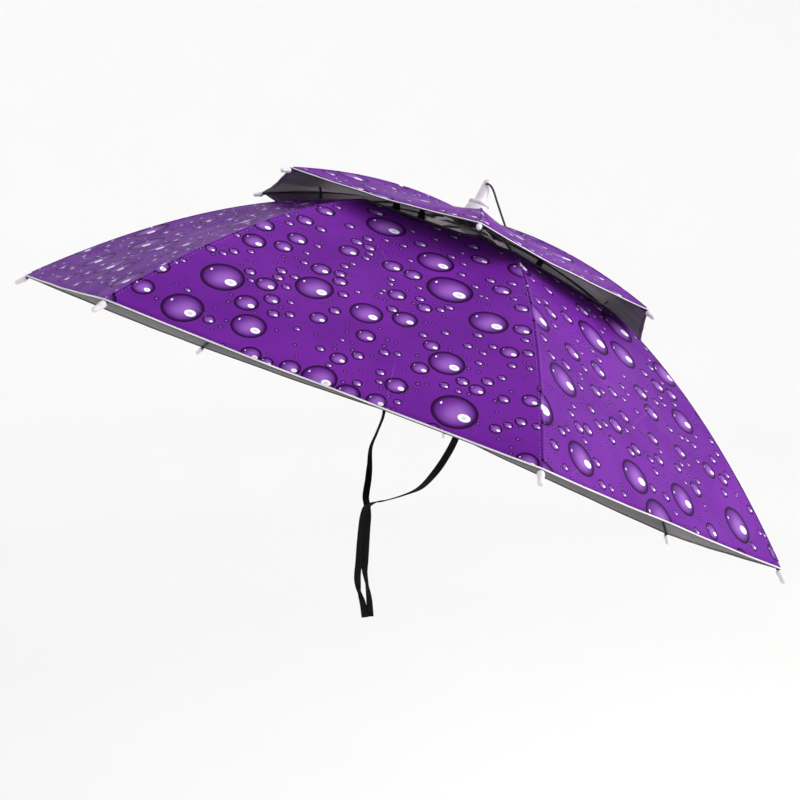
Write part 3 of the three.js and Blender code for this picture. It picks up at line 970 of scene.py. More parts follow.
# Points of the chin strap's route: x, y and z in millimetres, and the webbing's turn in degrees.
CHEEK = (
    (80.2, 12, -2, 0), (80, 12.5, -18, 0), (77, 13, -44, 20),
    (72, 9, -67, 32), (69, -4, -89, 34), (65, -16.5, -106, 30),
    (52, -28, -125.5, 15), (36, -41.5, -136.5, 0),
)
LEFT_TAIL = (
    (20, -56, -144.5, 0), (9, -65, -148.5, 6), (1.5, -70.5, -155, 24),
    (-2.4, -73, -168, 37), (-4, -74.6, -184, 37), (-5, -76.6, -206, 37),
    (-5.9, -77.8, -226, 37), (-7.1, -79.4, -250, 30), (-5.7, -77.6, -268, -35),
    (-3.2, -74.2, -284, 5), (-1.7, -72.3, -302, 37),
)
RIGHT_TAIL = (
    (-21, -55, -144.5, 0), (-11, -63, -149, 6), (-3.8, -66.2, -156, 24),
    (-1.4, -67, -169, 37), (-1.9, -68, -184, 37), (-2.6, -69.2, -206, 37),
    (-3.3, -70.2, -226, 37), (-3.6, -70.8, -240, 70), (-2, -68.6, -259, 100),
    (-0.6, -66.7, -276, 70), (0.4, -65.6, -302, 37),
)
LEFT_ROUTE = CHEEK + LEFT_TAIL
RIGHT_ROUTE = tuple((-x, y, z, -turn) for x, y, z, turn in CHEEK) + RIGHT_TAIL


@dataclass
class FinialCord:
    """The thin cord that leaves the finial's nose and goes down behind it to the top canopy."""

    diameter: float = 2.6 * MM
    steps: int = 6
    route: tuple[tuple[float, float, float], ...] = (
        (5.1, -4.8, 309.9),
        (7.7, -3, 310),
        (9.5, 0.6, 308.4),
        (10.8, 5.4, 304.7),
        (12.2, 12.2, 297.9),
        (13.9, 19.3, 290.6),
        (15.5, 26.4, 283.5),
        (17.5, 32.4, 277),
        (19.7, 38.6, 270.3),
        (21, 41.6, 267.1),
    )

    def make(self, wardrobe: Wardrobe) -> bpy.types.Object:
        """Args:
            wardrobe: the finishes.

        Returns:
            The piece.
        """
        line = smooth_line([Vector(point) * MM for point in self.route], self.steps)
        shape = Shape()
        rod(shape, line, self.diameter / 2, 12)
        obj = shape.build("finial_cord_braid", [wardrobe.get(Slot.CORD)])
        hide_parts("finial_cord")
        return obj


# Canopies


@dataclass(frozen=True)
class HollowRow:
    """How deep the cloth sinks between two ribs, in shares of the canopy's radius."""

    out: float
    depth: float


@dataclass(frozen=True)
class Pull:
    """A place where a tie draws the cloth up: the gore, shares across and out, and metres up."""

    gore: int
    across: float
    out: float
    height: float
    spread: float = 0.07


@dataclass(frozen=True)
class CanopyForm:
    """The shape of a canopy about the hat's upright axis."""

    radius: float
    rim_height: float
    rise: float
    bow: float
    heading: float
    hollow: tuple[HollowRow, ...]
    start: float
    pulls: tuple[Pull, ...] = ()
    lifts: tuple[float, ...] = (0.0,) * RIB_COUNT

    def rib_line(self, out: float) -> tuple[float, float]:
        """The distance from the axis and the height of a regular rib at a share of the way out."""
        return self.radius * out, self.rim_height + self.rise * (1 - out**self.bow)

    def lift(self, index: int, out: float) -> tuple[float, float]:
        """How far a rib lies over the regular line, and how fast that grows on the way out.

        Args:
            index: the rib.
            out: the share of the way out.

        Returns:
            The height, and its growth for each whole way out.
        """
        span = 1 - self.start
        past = max(out - self.start, 0.0) / span
        full = self.lifts[index % RIB_COUNT]
        return full * past**2, 2 * full * past / span

    def rib_normal(self, index: int, out: float) -> tuple[float, float]:
        """The normal above a rib, outwards and upwards."""
        fall = self.rise * self.bow * out ** (self.bow - 1)
        slope = (fall - self.lift(index, out)[1]) / self.radius
        return slope / math.hypot(slope, 1), 1 / math.hypot(slope, 1)

    def rib_heading(self, index: float) -> float:
        """A rib's heading, counted from the front towards the wearer's left."""
        return math.radians(self.heading) + PITCH * index

    def chord(self, out: float) -> float:
        """How far apart two ribs are at a share of the way out."""
        return 2 * self.radius * out * math.sin(HALF_PITCH)

    def sunk(self, out: float) -> float:
        """How deep the middle of a gore lies below the line from rib to rib.

        Args:
            out: the share of the way out.

        Returns:
            The depth in metres.
        """
        low, high = self.hollow[0], self.hollow[-1]
        for first, second in zip(self.hollow, self.hollow[1:]):
            if first.out <= out <= second.out:
                low, high = first, second
        share = min(max((out - low.out) / (high.out - low.out), 0.0), 1.0) if high.out > low.out else 0.0
        share = share * share * (3 - 2 * share)
        return (low.depth + (high.depth - low.depth) * share) * self.radius

    def normal(self, gore: int, out: float, across: float) -> Vector:
        """The cloth's normal.

        Args:
            gore: the gore's number from 0.
            out: the share of the way out.
            across: the share of the way from its first rib to the next.

        Returns:
            The unit normal on the outer side.
        """
        first = polar(self.rib_heading(gore), *self.rib_normal(gore, out))
        second = polar(self.rib_heading(gore + 1), *self.rib_normal(gore + 1, out))
        return first.lerp(second, across).normalized()

    def point(self, gore: int, out: float, across: float, lift: float = 0.0) -> Vector:
        """A point of the cloth.

        Args:
            gore: the gore's number from 0.
            out: the share of the way out.
            across: the share of the way from its first rib to the next.
            lift: how far above the cloth's middle.

        Returns:
            The point in the upright hat's frame.
        """
        first = self.under_rib(gore, out, 0.0)
        second = self.under_rib(gore + 1, out, 0.0)
        depth = self.sunk(out) * 4 * across * (1 - across) + self.slack(gore, out, across)
        return first.lerp(second, across) + self.normal(gore, out, across) * (lift - depth)

    def slack(self, gore: int, out: float, across: float) -> float:
        """Soft waves where the cloth isn't quite tight, none at the ribs.

        Args:
            gore: the gore's number from 0.
            out: the share of the way out.
            across: the share of the way from its first rib to the next.

        Returns:
            How far the cloth lies below its even surface.
        """
        taut = min(max((out - self.start) / 0.14, 0.0), 1.0)
        free = 4 * across * (1 - across) * taut
        phase = 1.7 * gore
        fans = math.sin(9.0 * across + phase + 5.0 * out) * math.sin(7.0 * out + 0.6 * phase)
        fine = math.sin(23.0 * across - 14.0 * out + phase)
        drawn = 0.0
        for pull in self.pulls:
            if pull.gore == gore:
                off = math.hypot((across - pull.across) / pull.spread, (out - pull.out) / (pull.spread * 0.6))
                drawn += pull.height * math.exp(-off * off)
        return free * (0.7 * fans + 0.25 * fine) * MM - drawn

    def seam_point(self, index: int, out: float, aside: float, lift: float) -> tuple[Vector, Vector]:
        """A point beside a seam.

        Args:
            index: the rib that the seam lies on.
            out: the share of the way out.
            aside: how far beside it, in metres, towards the next rib.
            lift: how far above the cloth's middle.

        Returns:
            The point and the normal there.
        """
        share = aside / self.chord(out)
        gore, across = (index, share) if aside >= 0 else (index - 1, 1 + share)
        return self.point(gore, out, across, lift), self.normal(gore, out, across)

    def under_rib(self, index: int, out: float, depth: float) -> Vector:
        """A point under a rib line, moved along its normal.

        Args:
            index: the rib.
            out: the share of the way out.
            depth: how far below.

        Returns:
            The point.
        """
        rho, z = self.rib_line(out)
        outward, upward = self.rib_normal(index, out)
        z += self.lift(index, out)[0]
        return polar(self.rib_heading(index), rho - outward * depth, z - upward * depth)

    def run_at_rim(self, index: int) -> Vector:
        """The direction in which a rib leaves the rim."""
        outward, upward = self.rib_normal(index, 1.0)
        return polar(self.rib_heading(index), upward, -outward)

    def length_to(self, out: float, steps: int = 24) -> float:
        """The length of a rib from the axis.

        Args:
            out: the share of the way out where it ends.
            steps: how finely it is measured.

        Returns:
            The length in metres.
        """
        line = [self.rib_line(out * i / steps) for i in range(steps + 1)]
        return sum(math.dist(a, b) for a, b in zip(line, line[1:]))


def polar(heading: float, rho: float, z: float) -> Vector:
    """A point from its heading, distance from the axis and height."""
    return Vector((math.sin(heading) * rho, -math.cos(heading) * rho, z))


MAIN_RADIUS = 475 * MM
VENT_RADIUS = 200 * MM
VENT_OUT = VENT_RADIUS / MAIN_RADIUS
TIE_ACROSS = 0.77
MAIN_FORM = CanopyForm(
    radius=MAIN_RADIUS,
    rim_height=0.0,
    rise=255 * MM,
    bow=1.97,
    heading=14.8,
    hollow=(HollowRow(0, 0), HollowRow(0.42, 0), HollowRow(0.72, 0.014), HollowRow(1, 0.004)),
    start=VENT_OUT,
    pulls=(Pull(0, TIE_ACROSS, VENT_OUT, 4.5 * MM),),
    lifts=(0.0, 0.0, 0.0, -5 * MM, 22 * MM, 3 * MM, 0.0),
)
TOP_RADIUS = 266 * MM
TOP_RIM_HEIGHT = MAIN_FORM.rib_line(TOP_RADIUS / MAIN_RADIUS)[1] + 35.9 * MM
TOP_APEX = MAIN_FORM.rise + 10.5 * MM
TOP_FORM = CanopyForm(
    radius=TOP_RADIUS,
    rim_height=TOP_RIM_HEIGHT,
    rise=TOP_APEX - TOP_RIM_HEIGHT,
    bow=2.0,
    heading=52.3,
    hollow=(HollowRow(0, 0), HollowRow(0.5, 0.03), HollowRow(1, 0.012)),
    start=0.03,
)


@dataclass
class Canopy:
    """A printed canopy: one sheet of cloth in seven gores with felled seams and a bound hem."""

    name: str
    form: CanopyForm
    start: float
    rows: int
    columns: int
    print_shift: tuple[float, float]
    replaced: tuple[str, ...]
    rests_on: tuple[str, ...]
    tape: float = 1.0 * MM
    inner_tape: float = 1.6 * MM
    tape_wall: float = 0.25 * MM
    seam_half: float = 1.3 * MM
    stitch_pitch: float = 3.2 * MM
    lining: Slot | str = Slot.LINING

    def place(self, gore: int, out: float, across: float) -> tuple[float, float]:
        """Where a point of the cloth lies on the printed bolt, in metres.

        Args:
            gore: the gore's number from 0.
            out: the share of the way out.
            across: the share of the way across the gore.

        Returns:
            The flat coordinates.
        """
        shift = gore + self.print_shift[0]
        side = (across - 0.5) * self.form.chord(out)
        return side + shift * 0.83, self.form.length_to(out) + self.print_shift[1] + 0.37 * gore

    def outs(self) -> list[float]:
        """The rows of the sheet, as shares of the way out."""
        return [self.start + (1 - self.start) * row / self.rows for row in range(self.rows + 1)]

    def sheet(self, wardrobe: Wardrobe) -> bpy.types.Object:
        """Builds the cloth, printed outside and lined inside.

        Args:
            wardrobe: the finishes.

        Returns:
            The piece.
        """
        shape = Shape()
        around = RIB_COUNT * self.columns
        outs = self.outs()
        lengths = [self.form.length_to(out) for out in outs]
        for skin in Skin:
            for out in outs:
                for step in range(around):
                    gore, column = divmod(step, self.columns)
                    shape.points.append(self.form.point(gore, out, column / self.columns, skin.value * HALF_WALL))

        def at(skin: int, row: int, step: int) -> int:
            """The index of a point."""
            return (skin * (self.rows + 1) + row) * around + step % around

        def flat(row: int, gore: int, column: int) -> tuple[float, float]:
            """The printed bolt's coordinates at a point."""
            side = (column / self.columns - 0.5) * self.form.chord(outs[row])
            return side + (gore + self.print_shift[0]) * 0.83, lengths[row] + self.print_shift[1] + 0.37 * gore

        def seam(row: int, column: int) -> tuple[float, float]:
            """How far a point is from the nearest seam, and along it."""
            near = min(column, self.columns - column) / self.columns
            return near * self.form.chord(outs[row]), lengths[row]

        for step in range(around):
            gore, column = divmod(step, self.columns)
            for row in range(self.rows):
                spots = ((row, column), (row, column + 1), (row + 1, column + 1), (row + 1, column))
                places = tuple(flat(r, gore, c) for r, c in spots)
                seams = tuple(seam(r, c) for r, c in spots)
                outer = tuple(at(0, r, gore * self.columns + c) for r, c in reversed(spots))
                shape.face(outer, tuple(reversed(places)), 0, tuple(reversed(seams)))
                inner = tuple(at(1, r, gore * self.columns + c) for r, c in spots)
                shape.face(inner, places, 1, seams)
            for row, turned in ((0, False), (self.rows, True)):
                a, b = at(0, row, step), at(0, row, step + 1)
                c, d = at(1, row, step + 1), at(1, row, step)
                first, second = flat(row, gore, column), flat(row, gore, column + 1)
                corners = (a, b, c, d) if not turned else (d, c, b, a)
                edge = (first, second, second, first)
                shape.face(corners, edge, 1)
        looks = [wardrobe.get(Slot.CLOTH), wardrobe.get(self.lining)]
        obj = shape.build(f"{self.name}_cloth", looks)
        self.crease_at_ribs(obj, around)
        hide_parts(*self.replaced)
        side = 2 * self.form.length_to(1.0)
        return obj

    def crease_at_ribs(self, obj: bpy.types.Object, around: int) -> None:
        """Marks the seams as sharp, so that the gores shade apart.

        Args:
            obj: the cloth.
            around: how many points a row has.
        """
        sharp = obj.data.attributes.new("sharp_edge", "BOOLEAN", "EDGE")
        for edge in obj.data.edges:
            first, second = (vertex % around for vertex in edge.vertices)
            if first == second and first % self.columns == 0:
                sharp.data[edge.index].value = True

    def strip(self, shape: Shape, section: list[tuple[float, float, int]], at: float, steps: int) -> None:
        """Adds a closed tape that follows a whole edge of the canopy.

        Args:
            shape: the mesh that it goes into.
            section: inward distance, lift from the cloth's middle, and finish of the side that starts there.
            at: the edge, as a share of the way out.
            steps: its steps in each gore.
        """
        start = len(shape.points)
        count = len(section)
        around = RIB_COUNT * steps
        slope = 1 / self.form.rib_normal(0, at)[1]
        reach = self.form.radius * math.cos(HALF_PITCH) * slope
        for step in range(around):
            gore, column = divmod(step, steps)
            for inward, lift, _ in section:
                shape.points.append(self.form.point(gore, at - inward / reach, column / steps, lift))
        edge = [0.0]
        for first, second in zip(section, section[1:] + section[:1]):
            edge.append(edge[-1] + math.dist(first[:2], second[:2]))
        run = self.form.chord(at) / steps
        for step in range(around):
            here = start + step * count
            there = start + ((step + 1) % around) * count
            for i in range(count):
                j = (i + 1) % count
                places = (
                    (edge[i], step * run),
                    (edge[i + 1], step * run),
                    (edge[i + 1], (step + 1) * run),
                    (edge[i], (step + 1) * run),
                )
                shape.face((here + i, here + j, there + j, there + i), places, section[i][2])

    def hem(self, wardrobe: Wardrobe) -> bpy.types.Object:
        """Builds the tape that binds the rim: white outside and black inside, with its stitches.

        Args:
            wardrobe: the finishes.

        Returns:
            The piece.
        """
        shape = Shape()
        top = HALF_WALL + self.tape_wall
        inside = self.inner_tape
        section = [
            (self.tape, HALF_WALL + 0.02 * MM, 0),
            (self.tape, top, 0),
            (self.tape * 0.5, top + 0.12 * MM, 0),
            (0.1 * MM, top, 0),
            (-0.45 * MM, HALF_WALL * 0.6, 1),
            (-0.65 * MM, -HALF_WALL * 0.5, 1),
            (-0.4 * MM, -top, 1),
            (inside * 0.5, -top - 0.1 * MM, 1),
            (inside, -top, 1),
            (inside, -HALF_WALL - 0.02 * MM, 1),
            (-0.05 * MM, -HALF_WALL - 0.02 * MM, 1),
            (-0.05 * MM, HALF_WALL + 0.02 * MM, 0),
        ]
        self.strip(shape, section, 1.0, self.columns)
        per_gore = round(self.form.chord(1.0) / self.stitch_pitch)
        slope = 1 / self.form.rib_normal(0, 1.0)[1]
        row = 1.0 - self.tape * 0.62 / (self.form.radius * math.cos(HALF_PITCH) * slope)
        for gore in range(RIB_COUNT):
            for index in range(per_gore):
                first = (index + 0.2) / per_gore
                second = (index + 0.8) / per_gore
                lift = top + 0.1 * MM
                up = self.form.normal(gore, row, first)
                ends = [self.form.point(gore, row, share, lift) for share in (first, second)]
                stitch(shape, ends[0], ends[1], up, 0.16 * MM, 2)
        looks = [wardrobe.get(Slot.BINDING), wardrobe.get("inner_tape"), wardrobe.get("pale_thread")]
        return shape.build(f"{self.name}_hem", looks)

    def seams(self, wardrobe: Wardrobe) -> bpy.types.Object:
        """Builds the felled seams over the ribs, with a row of stitches on each side.

        Args:
            wardrobe: the finishes.

        Returns:
            The piece.
        """
        shape = Shape()
        half = self.seam_half
        base = HALF_WALL - 0.12 * MM
        section = [
            (-half, base),
            (-half * 0.8, HALF_WALL + 0.55 * MM),
            (-half * 0.3, HALF_WALL + 0.95 * MM),
            (half * 0.3, HALF_WALL + 0.95 * MM),
            (half * 0.8, HALF_WALL + 0.55 * MM),
            (half, base),
            (0.0, base),
        ]
        first, last = self.start + 0.012, 1.0 - 0.012
        for index in range(RIB_COUNT):
            start = len(shape.points)
            outs = [first + (last - first) * row / self.rows for row in range(self.rows + 1)]
            for out in outs:
                shape.points += [self.form.seam_point(index, out, aside, lift)[0] for aside, lift in section]
            self.close_seam(shape, start, section, outs, index)
            span = self.form.length_to(last) - self.form.length_to(first)
            count = round(span / self.stitch_pitch)
            for number in range(count):
                spots = [first + (last - first) * (number + share) / count for share in (0.2, 0.8)]
                for aside in (-2.1 * half, 2.1 * half):
                    ends = [self.form.seam_point(index, out, aside, HALF_WALL + 0.1 * MM) for out in spots]
                    stitch(shape, ends[0][0], ends[1][0], ends[0][1], 0.24 * MM, 1)
        looks = [wardrobe.get(Slot.CLOTH), wardrobe.get("violet_thread")]
        return shape.build(f"{self.name}_seams", looks)

    def close_seam(
        self, shape: Shape, start: int, section: list[tuple[float, float]], outs: list[float], index: int
    ) -> None:
        """Joins the points of one seam into a closed solid.

        Args:
            shape: the mesh that it goes into.
            start: its first point.
            section: its cross-section.
            outs: its rows, as shares of the way out.
            index: the rib that it lies on.
        """
        count = len(section)
        for row in range(len(outs) - 1):
            for i in range(count):
                j = (i + 1) % count
                a, b = start + row * count, start + (row + 1) * count
                places = tuple(
                    self.bolt_place(index, outs[r], section[k][0]) for r, k in ((row, i), (row, j), (row + 1, j), (row + 1, i))
                )
                shape.face((a + i, a + j, b + j, b + i), places, 0, tuple((0.0, 0.0) for _ in range(4)))
        end = start + (len(outs) - 1) * count
        shape.face(tuple(start + i for i in reversed(range(count))), tuple((a, b) for a, b in reversed(section)))
        shape.face(tuple(end + i for i in range(count)), tuple(section))

    def bolt_place(self, index: int, out: float, aside: float) -> tuple[float, float]:
        """The printed bolt's coordinates beside a seam."""
        return self.place(index, out, aside / self.form.chord(out))

    def make(self, wardrobe: Wardrobe) -> list[bpy.types.Object]:
        """Builds the cloth, the hem and the seams.

        Args:
            wardrobe: the finishes.

        Returns:
            The pieces.
        """
        return [self.sheet(wardrobe), self.hem(wardrobe), self.seams(wardrobe)]


@dataclass
class VentTape:
    """The soft black tape that binds the main canopy's vent."""

    form: CanopyForm = MAIN_FORM
    width: float = 5.0 * MM
    wall: float = 0.6 * MM
    steps: int = 24

    def make(self, wardrobe: Wardrobe) -> bpy.types.Object:
        """Builds the tape.

        Args:
            wardrobe: the finishes.

        Returns:
            The piece.
        """
        canopy = Canopy("vent", self.form, VENT_OUT, 1, self.steps, (0, 0), (), ())
        top = HALF_WALL + self.wall
        section = [
            (-self.width, HALF_WALL + 0.02 * MM, 0),
            (0.05 * MM, HALF_WALL + 0.02 * MM, 0),
            (0.05 * MM, -HALF_WALL - 0.02 * MM, 0),
            (-self.width, -HALF_WALL - 0.02 * MM, 0),
            (-self.width, -top, 0),
            (0.4 * MM, -top, 0),
            (0.9 * MM, 0.0, 0),
            (0.4 * MM, top, 0),
            (-self.width, top, 0),
        ]
        shape = Shape()
        canopy.strip(shape, section, VENT_OUT, self.steps)
        return shape.build("vent_tape", [wardrobe.get("inner_tape")])


@dataclass(frozen=True)
class StrapPlace:
    """Where an elastic strap starts, and how far past the vent's edge its upper end reaches."""

    gore: int
    across: float
    reach: float = 9 * MM
    waist: float = 0.8


@dataclass
class VentStraps:
    """Elastic straps from inside the vent's edge to the underside of the top canopy."""

    width: float = 8.5 * MM
    wall: float = 1.0 * MM
    inside_vent: float = 12 * MM
    over_edge: float = 3 * MM
    bend_reach: float = 6 * MM
    steps: int = 22
    flare: float = 1.12
    places: tuple[StrapPlace, ...] = (
        StrapPlace(0, 0.2, 30 * MM, 0.9),
        StrapPlace(0, 0.37, 30 * MM, 0.62),
        StrapPlace(1, 0.24, 9 * MM, 0.98),
        StrapPlace(2, 0.24),
        StrapPlace(3, 0.24),
        StrapPlace(4, 0.24),
        StrapPlace(5, 0.24),
        StrapPlace(6, 0.24),
    )

    def line(self, place: StrapPlace) -> tuple[list[Vector], list[Vector]]:
        """The middle line of one strap and the direction of its width.

        Args:
            place: where it starts and how far it reaches.

        Returns:
            The points and the directions.
        """
        gore, across = place.gore, place.across
        hold = HALF_WALL + CLOTH_FIT + self.wall / 2
        low = MAIN_FORM.point(gore, (VENT_RADIUS + self.inside_vent) / MAIN_RADIUS, across, -hold)
        edge = MAIN_FORM.point(gore, (VENT_RADIUS - self.over_edge) / MAIN_RADIUS, across, -hold)
        turns = (math.atan2(low.x, -low.y) - math.radians(TOP_FORM.heading)) / PITCH
        top_gore = math.floor(turns)
        angle = (turns - top_gore) * PITCH
        share = math.sin(angle) / (math.sin(angle) + math.sin(PITCH - angle))
        chord = math.cos(HALF_PITCH) / math.cos(angle - HALF_PITCH)
        rho = math.hypot(edge.x, edge.y)
        bend = TOP_FORM.point(top_gore, (rho + self.bend_reach) / chord / TOP_RADIUS, share, -hold)
        end = TOP_FORM.point(top_gore, (rho + place.reach) / chord / TOP_RADIUS, share, -hold)
        low_width = polar(MAIN_FORM.rib_heading(gore + 0.5) + math.pi / 2, 1, 0)
        high_width = polar(TOP_FORM.rib_heading(top_gore + 0.5) + math.pi / 2, 1, 0)
        points, widths = [low], [low_width]
        for step in range(self.steps + 1):
            t = step / self.steps
            points.append(edge * (1 - t) ** 2 + bend * (2 * t * (1 - t)) + end * t**2)
            widths.append(low_width.lerp(high_width, t))
        return points, widths

    def make(self, wardrobe: Wardrobe) -> list[bpy.types.Object]:
        """Builds the straps, narrower halfway where they are stretched.

        Args:
            wardrobe: the finishes.

        Returns:
            The pieces.
        """
        made = []
        for number, place in enumerate(self.places, 1):
            points, widths = self.line(place)
            stations = stations_along(points, widths)
            for index, station in enumerate(stations):
                stretched = math.sin(math.pi * index / (len(stations) - 1)) ** 2
                station.grow = self.flare + (place.waist - self.flare) * stretched
            shape = Shape()
            sweep(shape, stations, tape_section(self.width, self.wall))
            obj = shape.build(f"elastic_strap_{number}", [wardrobe.get(Slot.ELASTIC)])
            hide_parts(f"vent_strap_{number}")
            made.append(obj)
        return made


@dataclass
class CornerTie:
    """The thin cord and its pale loop that draw the vent's edge up under a corner of the top canopy."""

    radius: float = 0.75 * MM
    loop_radius: float = 0.55 * MM
    high_out: float = 0.955
    hang: float = 3.4 * MM

    def make(self, wardrobe: Wardrobe) -> bpy.types.Object:
        """Builds the tie.

        Args:
            wardrobe: the finishes.

        Returns:
            The piece.
        """
        foot = MAIN_FORM.point(0, VENT_OUT - 0.002, TIE_ACROSS, HALF_WALL)
        head = TOP_FORM.under_rib(0, self.high_out, self.hang + self.radius)
        side = (head - foot).cross(Vector((0, 0, 1))).normalized()
        shape = Shape()
        for sway in (-1, 1):
            middle = foot.lerp(head, 0.55) + side * sway * 1.8 * MM - Vector((0, 0, 1.2 * MM))
            rod(shape, smooth_line([foot, middle, head + side * sway * 1.2 * MM], 8), self.radius, 10)
        loop = []
        rise = (foot - head).normalized()
        for step in range(13):
            turn = 2 * math.pi * step / 12
            loop.append(
                head + rise * (4.0 * MM * (1 - math.cos(turn))) + side * (3.2 * MM * math.sin(turn))
            )
        rod(shape, loop, self.loop_radius, 8, 1)
        looks = [wardrobe.get(Slot.CORD), wardrobe.get("pale_thread")]
        return shape.build("corner_tie", looks)


@dataclass
class Rosette:
    """The crumpled round of cloth over the ribs, round the hub."""

    inner: float = 14.2 * MM
    outer: float = 52 * MM
    high: float = 6.0 * MM
    fall: float = 7.5 * MM
    sag: float = 10 * MM
    wall: float = 0.5 * MM
    rows: int = 12
    columns: int = 182

    def height(self, turn: float, share: float) -> float:
        """How far the cloth lies below its highest ring.

        Args:
            turn: the heading from the first rib, in radians.
            share: the share of the way from the hub to its edge.

        Returns:
            The depth in metres.
        """
        between = abs(math.sin(turn * RIB_COUNT / 2)) ** 0.7
        folds = 0.5 + 0.5 * math.sin(9 * turn + 3 * share + 2 * math.sin(5 * turn))
        crumple = math.sin(23 * turn - 7 * share) + math.sin(37 * turn + 9 * share + 1.3)
        hang = between * (self.sag * (0.74 + 0.26 * folds) + 0.25 * MM * crumple)
        return self.fall * share + hang * share**0.8

    def make(self, wardrobe: Wardrobe) -> bpy.types.Object:
        """Builds the rosette.

        Args:
            wardrobe: the finishes.

        Returns:
            The piece.
        """
        shape = Shape()
        top = TOP_APEX - self.high
        heading = MAIN_FORM.rib_heading(0)
        for side in (0.0, self.wall):
            for row in range(self.rows + 1):
                share = row / self.rows
                for step in range(self.columns):
                    turn = 2 * math.pi * step / self.columns
                    ragged = 1 + 0.03 * share * math.sin(17 * turn) + 0.015 * share * math.sin(29 * turn + 1)
                    rho = (self.inner + (self.outer - self.inner) * share) * ragged
                    shape.points.append(polar(heading + turn, rho, top - self.height(turn, share) - side))
        layer = (self.rows + 1) * self.columns
        for step in range(self.columns):
            after = (step + 1) % self.columns
            for row in range(self.rows):
                a, b = row * self.columns, (row + 1) * self.columns
                u = [2 * math.pi * self.outer * k / self.columns for k in (step, step + 1)]
                v = [self.outer * k / self.rows for k in (row, row + 1)]
                quad = (a + step, b + step, b + after, a + after)
                places = ((u[0], v[0]), (u[0], v[1]), (u[1], v[1]), (u[1], v[0]))
                shape.face(quad, places)
                shape.face(tuple(layer + i for i in reversed(quad)), tuple(reversed(places)))
            for row, turned in ((0, True), (self.rows, False)):
                a, b = row * self.columns + step, row * self.columns + after
                quad = (a, b, b + layer, a + layer) if turned else (b, a, a + layer, b + layer)
                shape.face(quad, ((u[0], 0.0), (u[1], 0.0), (u[1], self.wall), (u[0], self.wall)))
        return shape.build("hub_rosette", [wardrobe.get("rosette")])


# Frame of rods


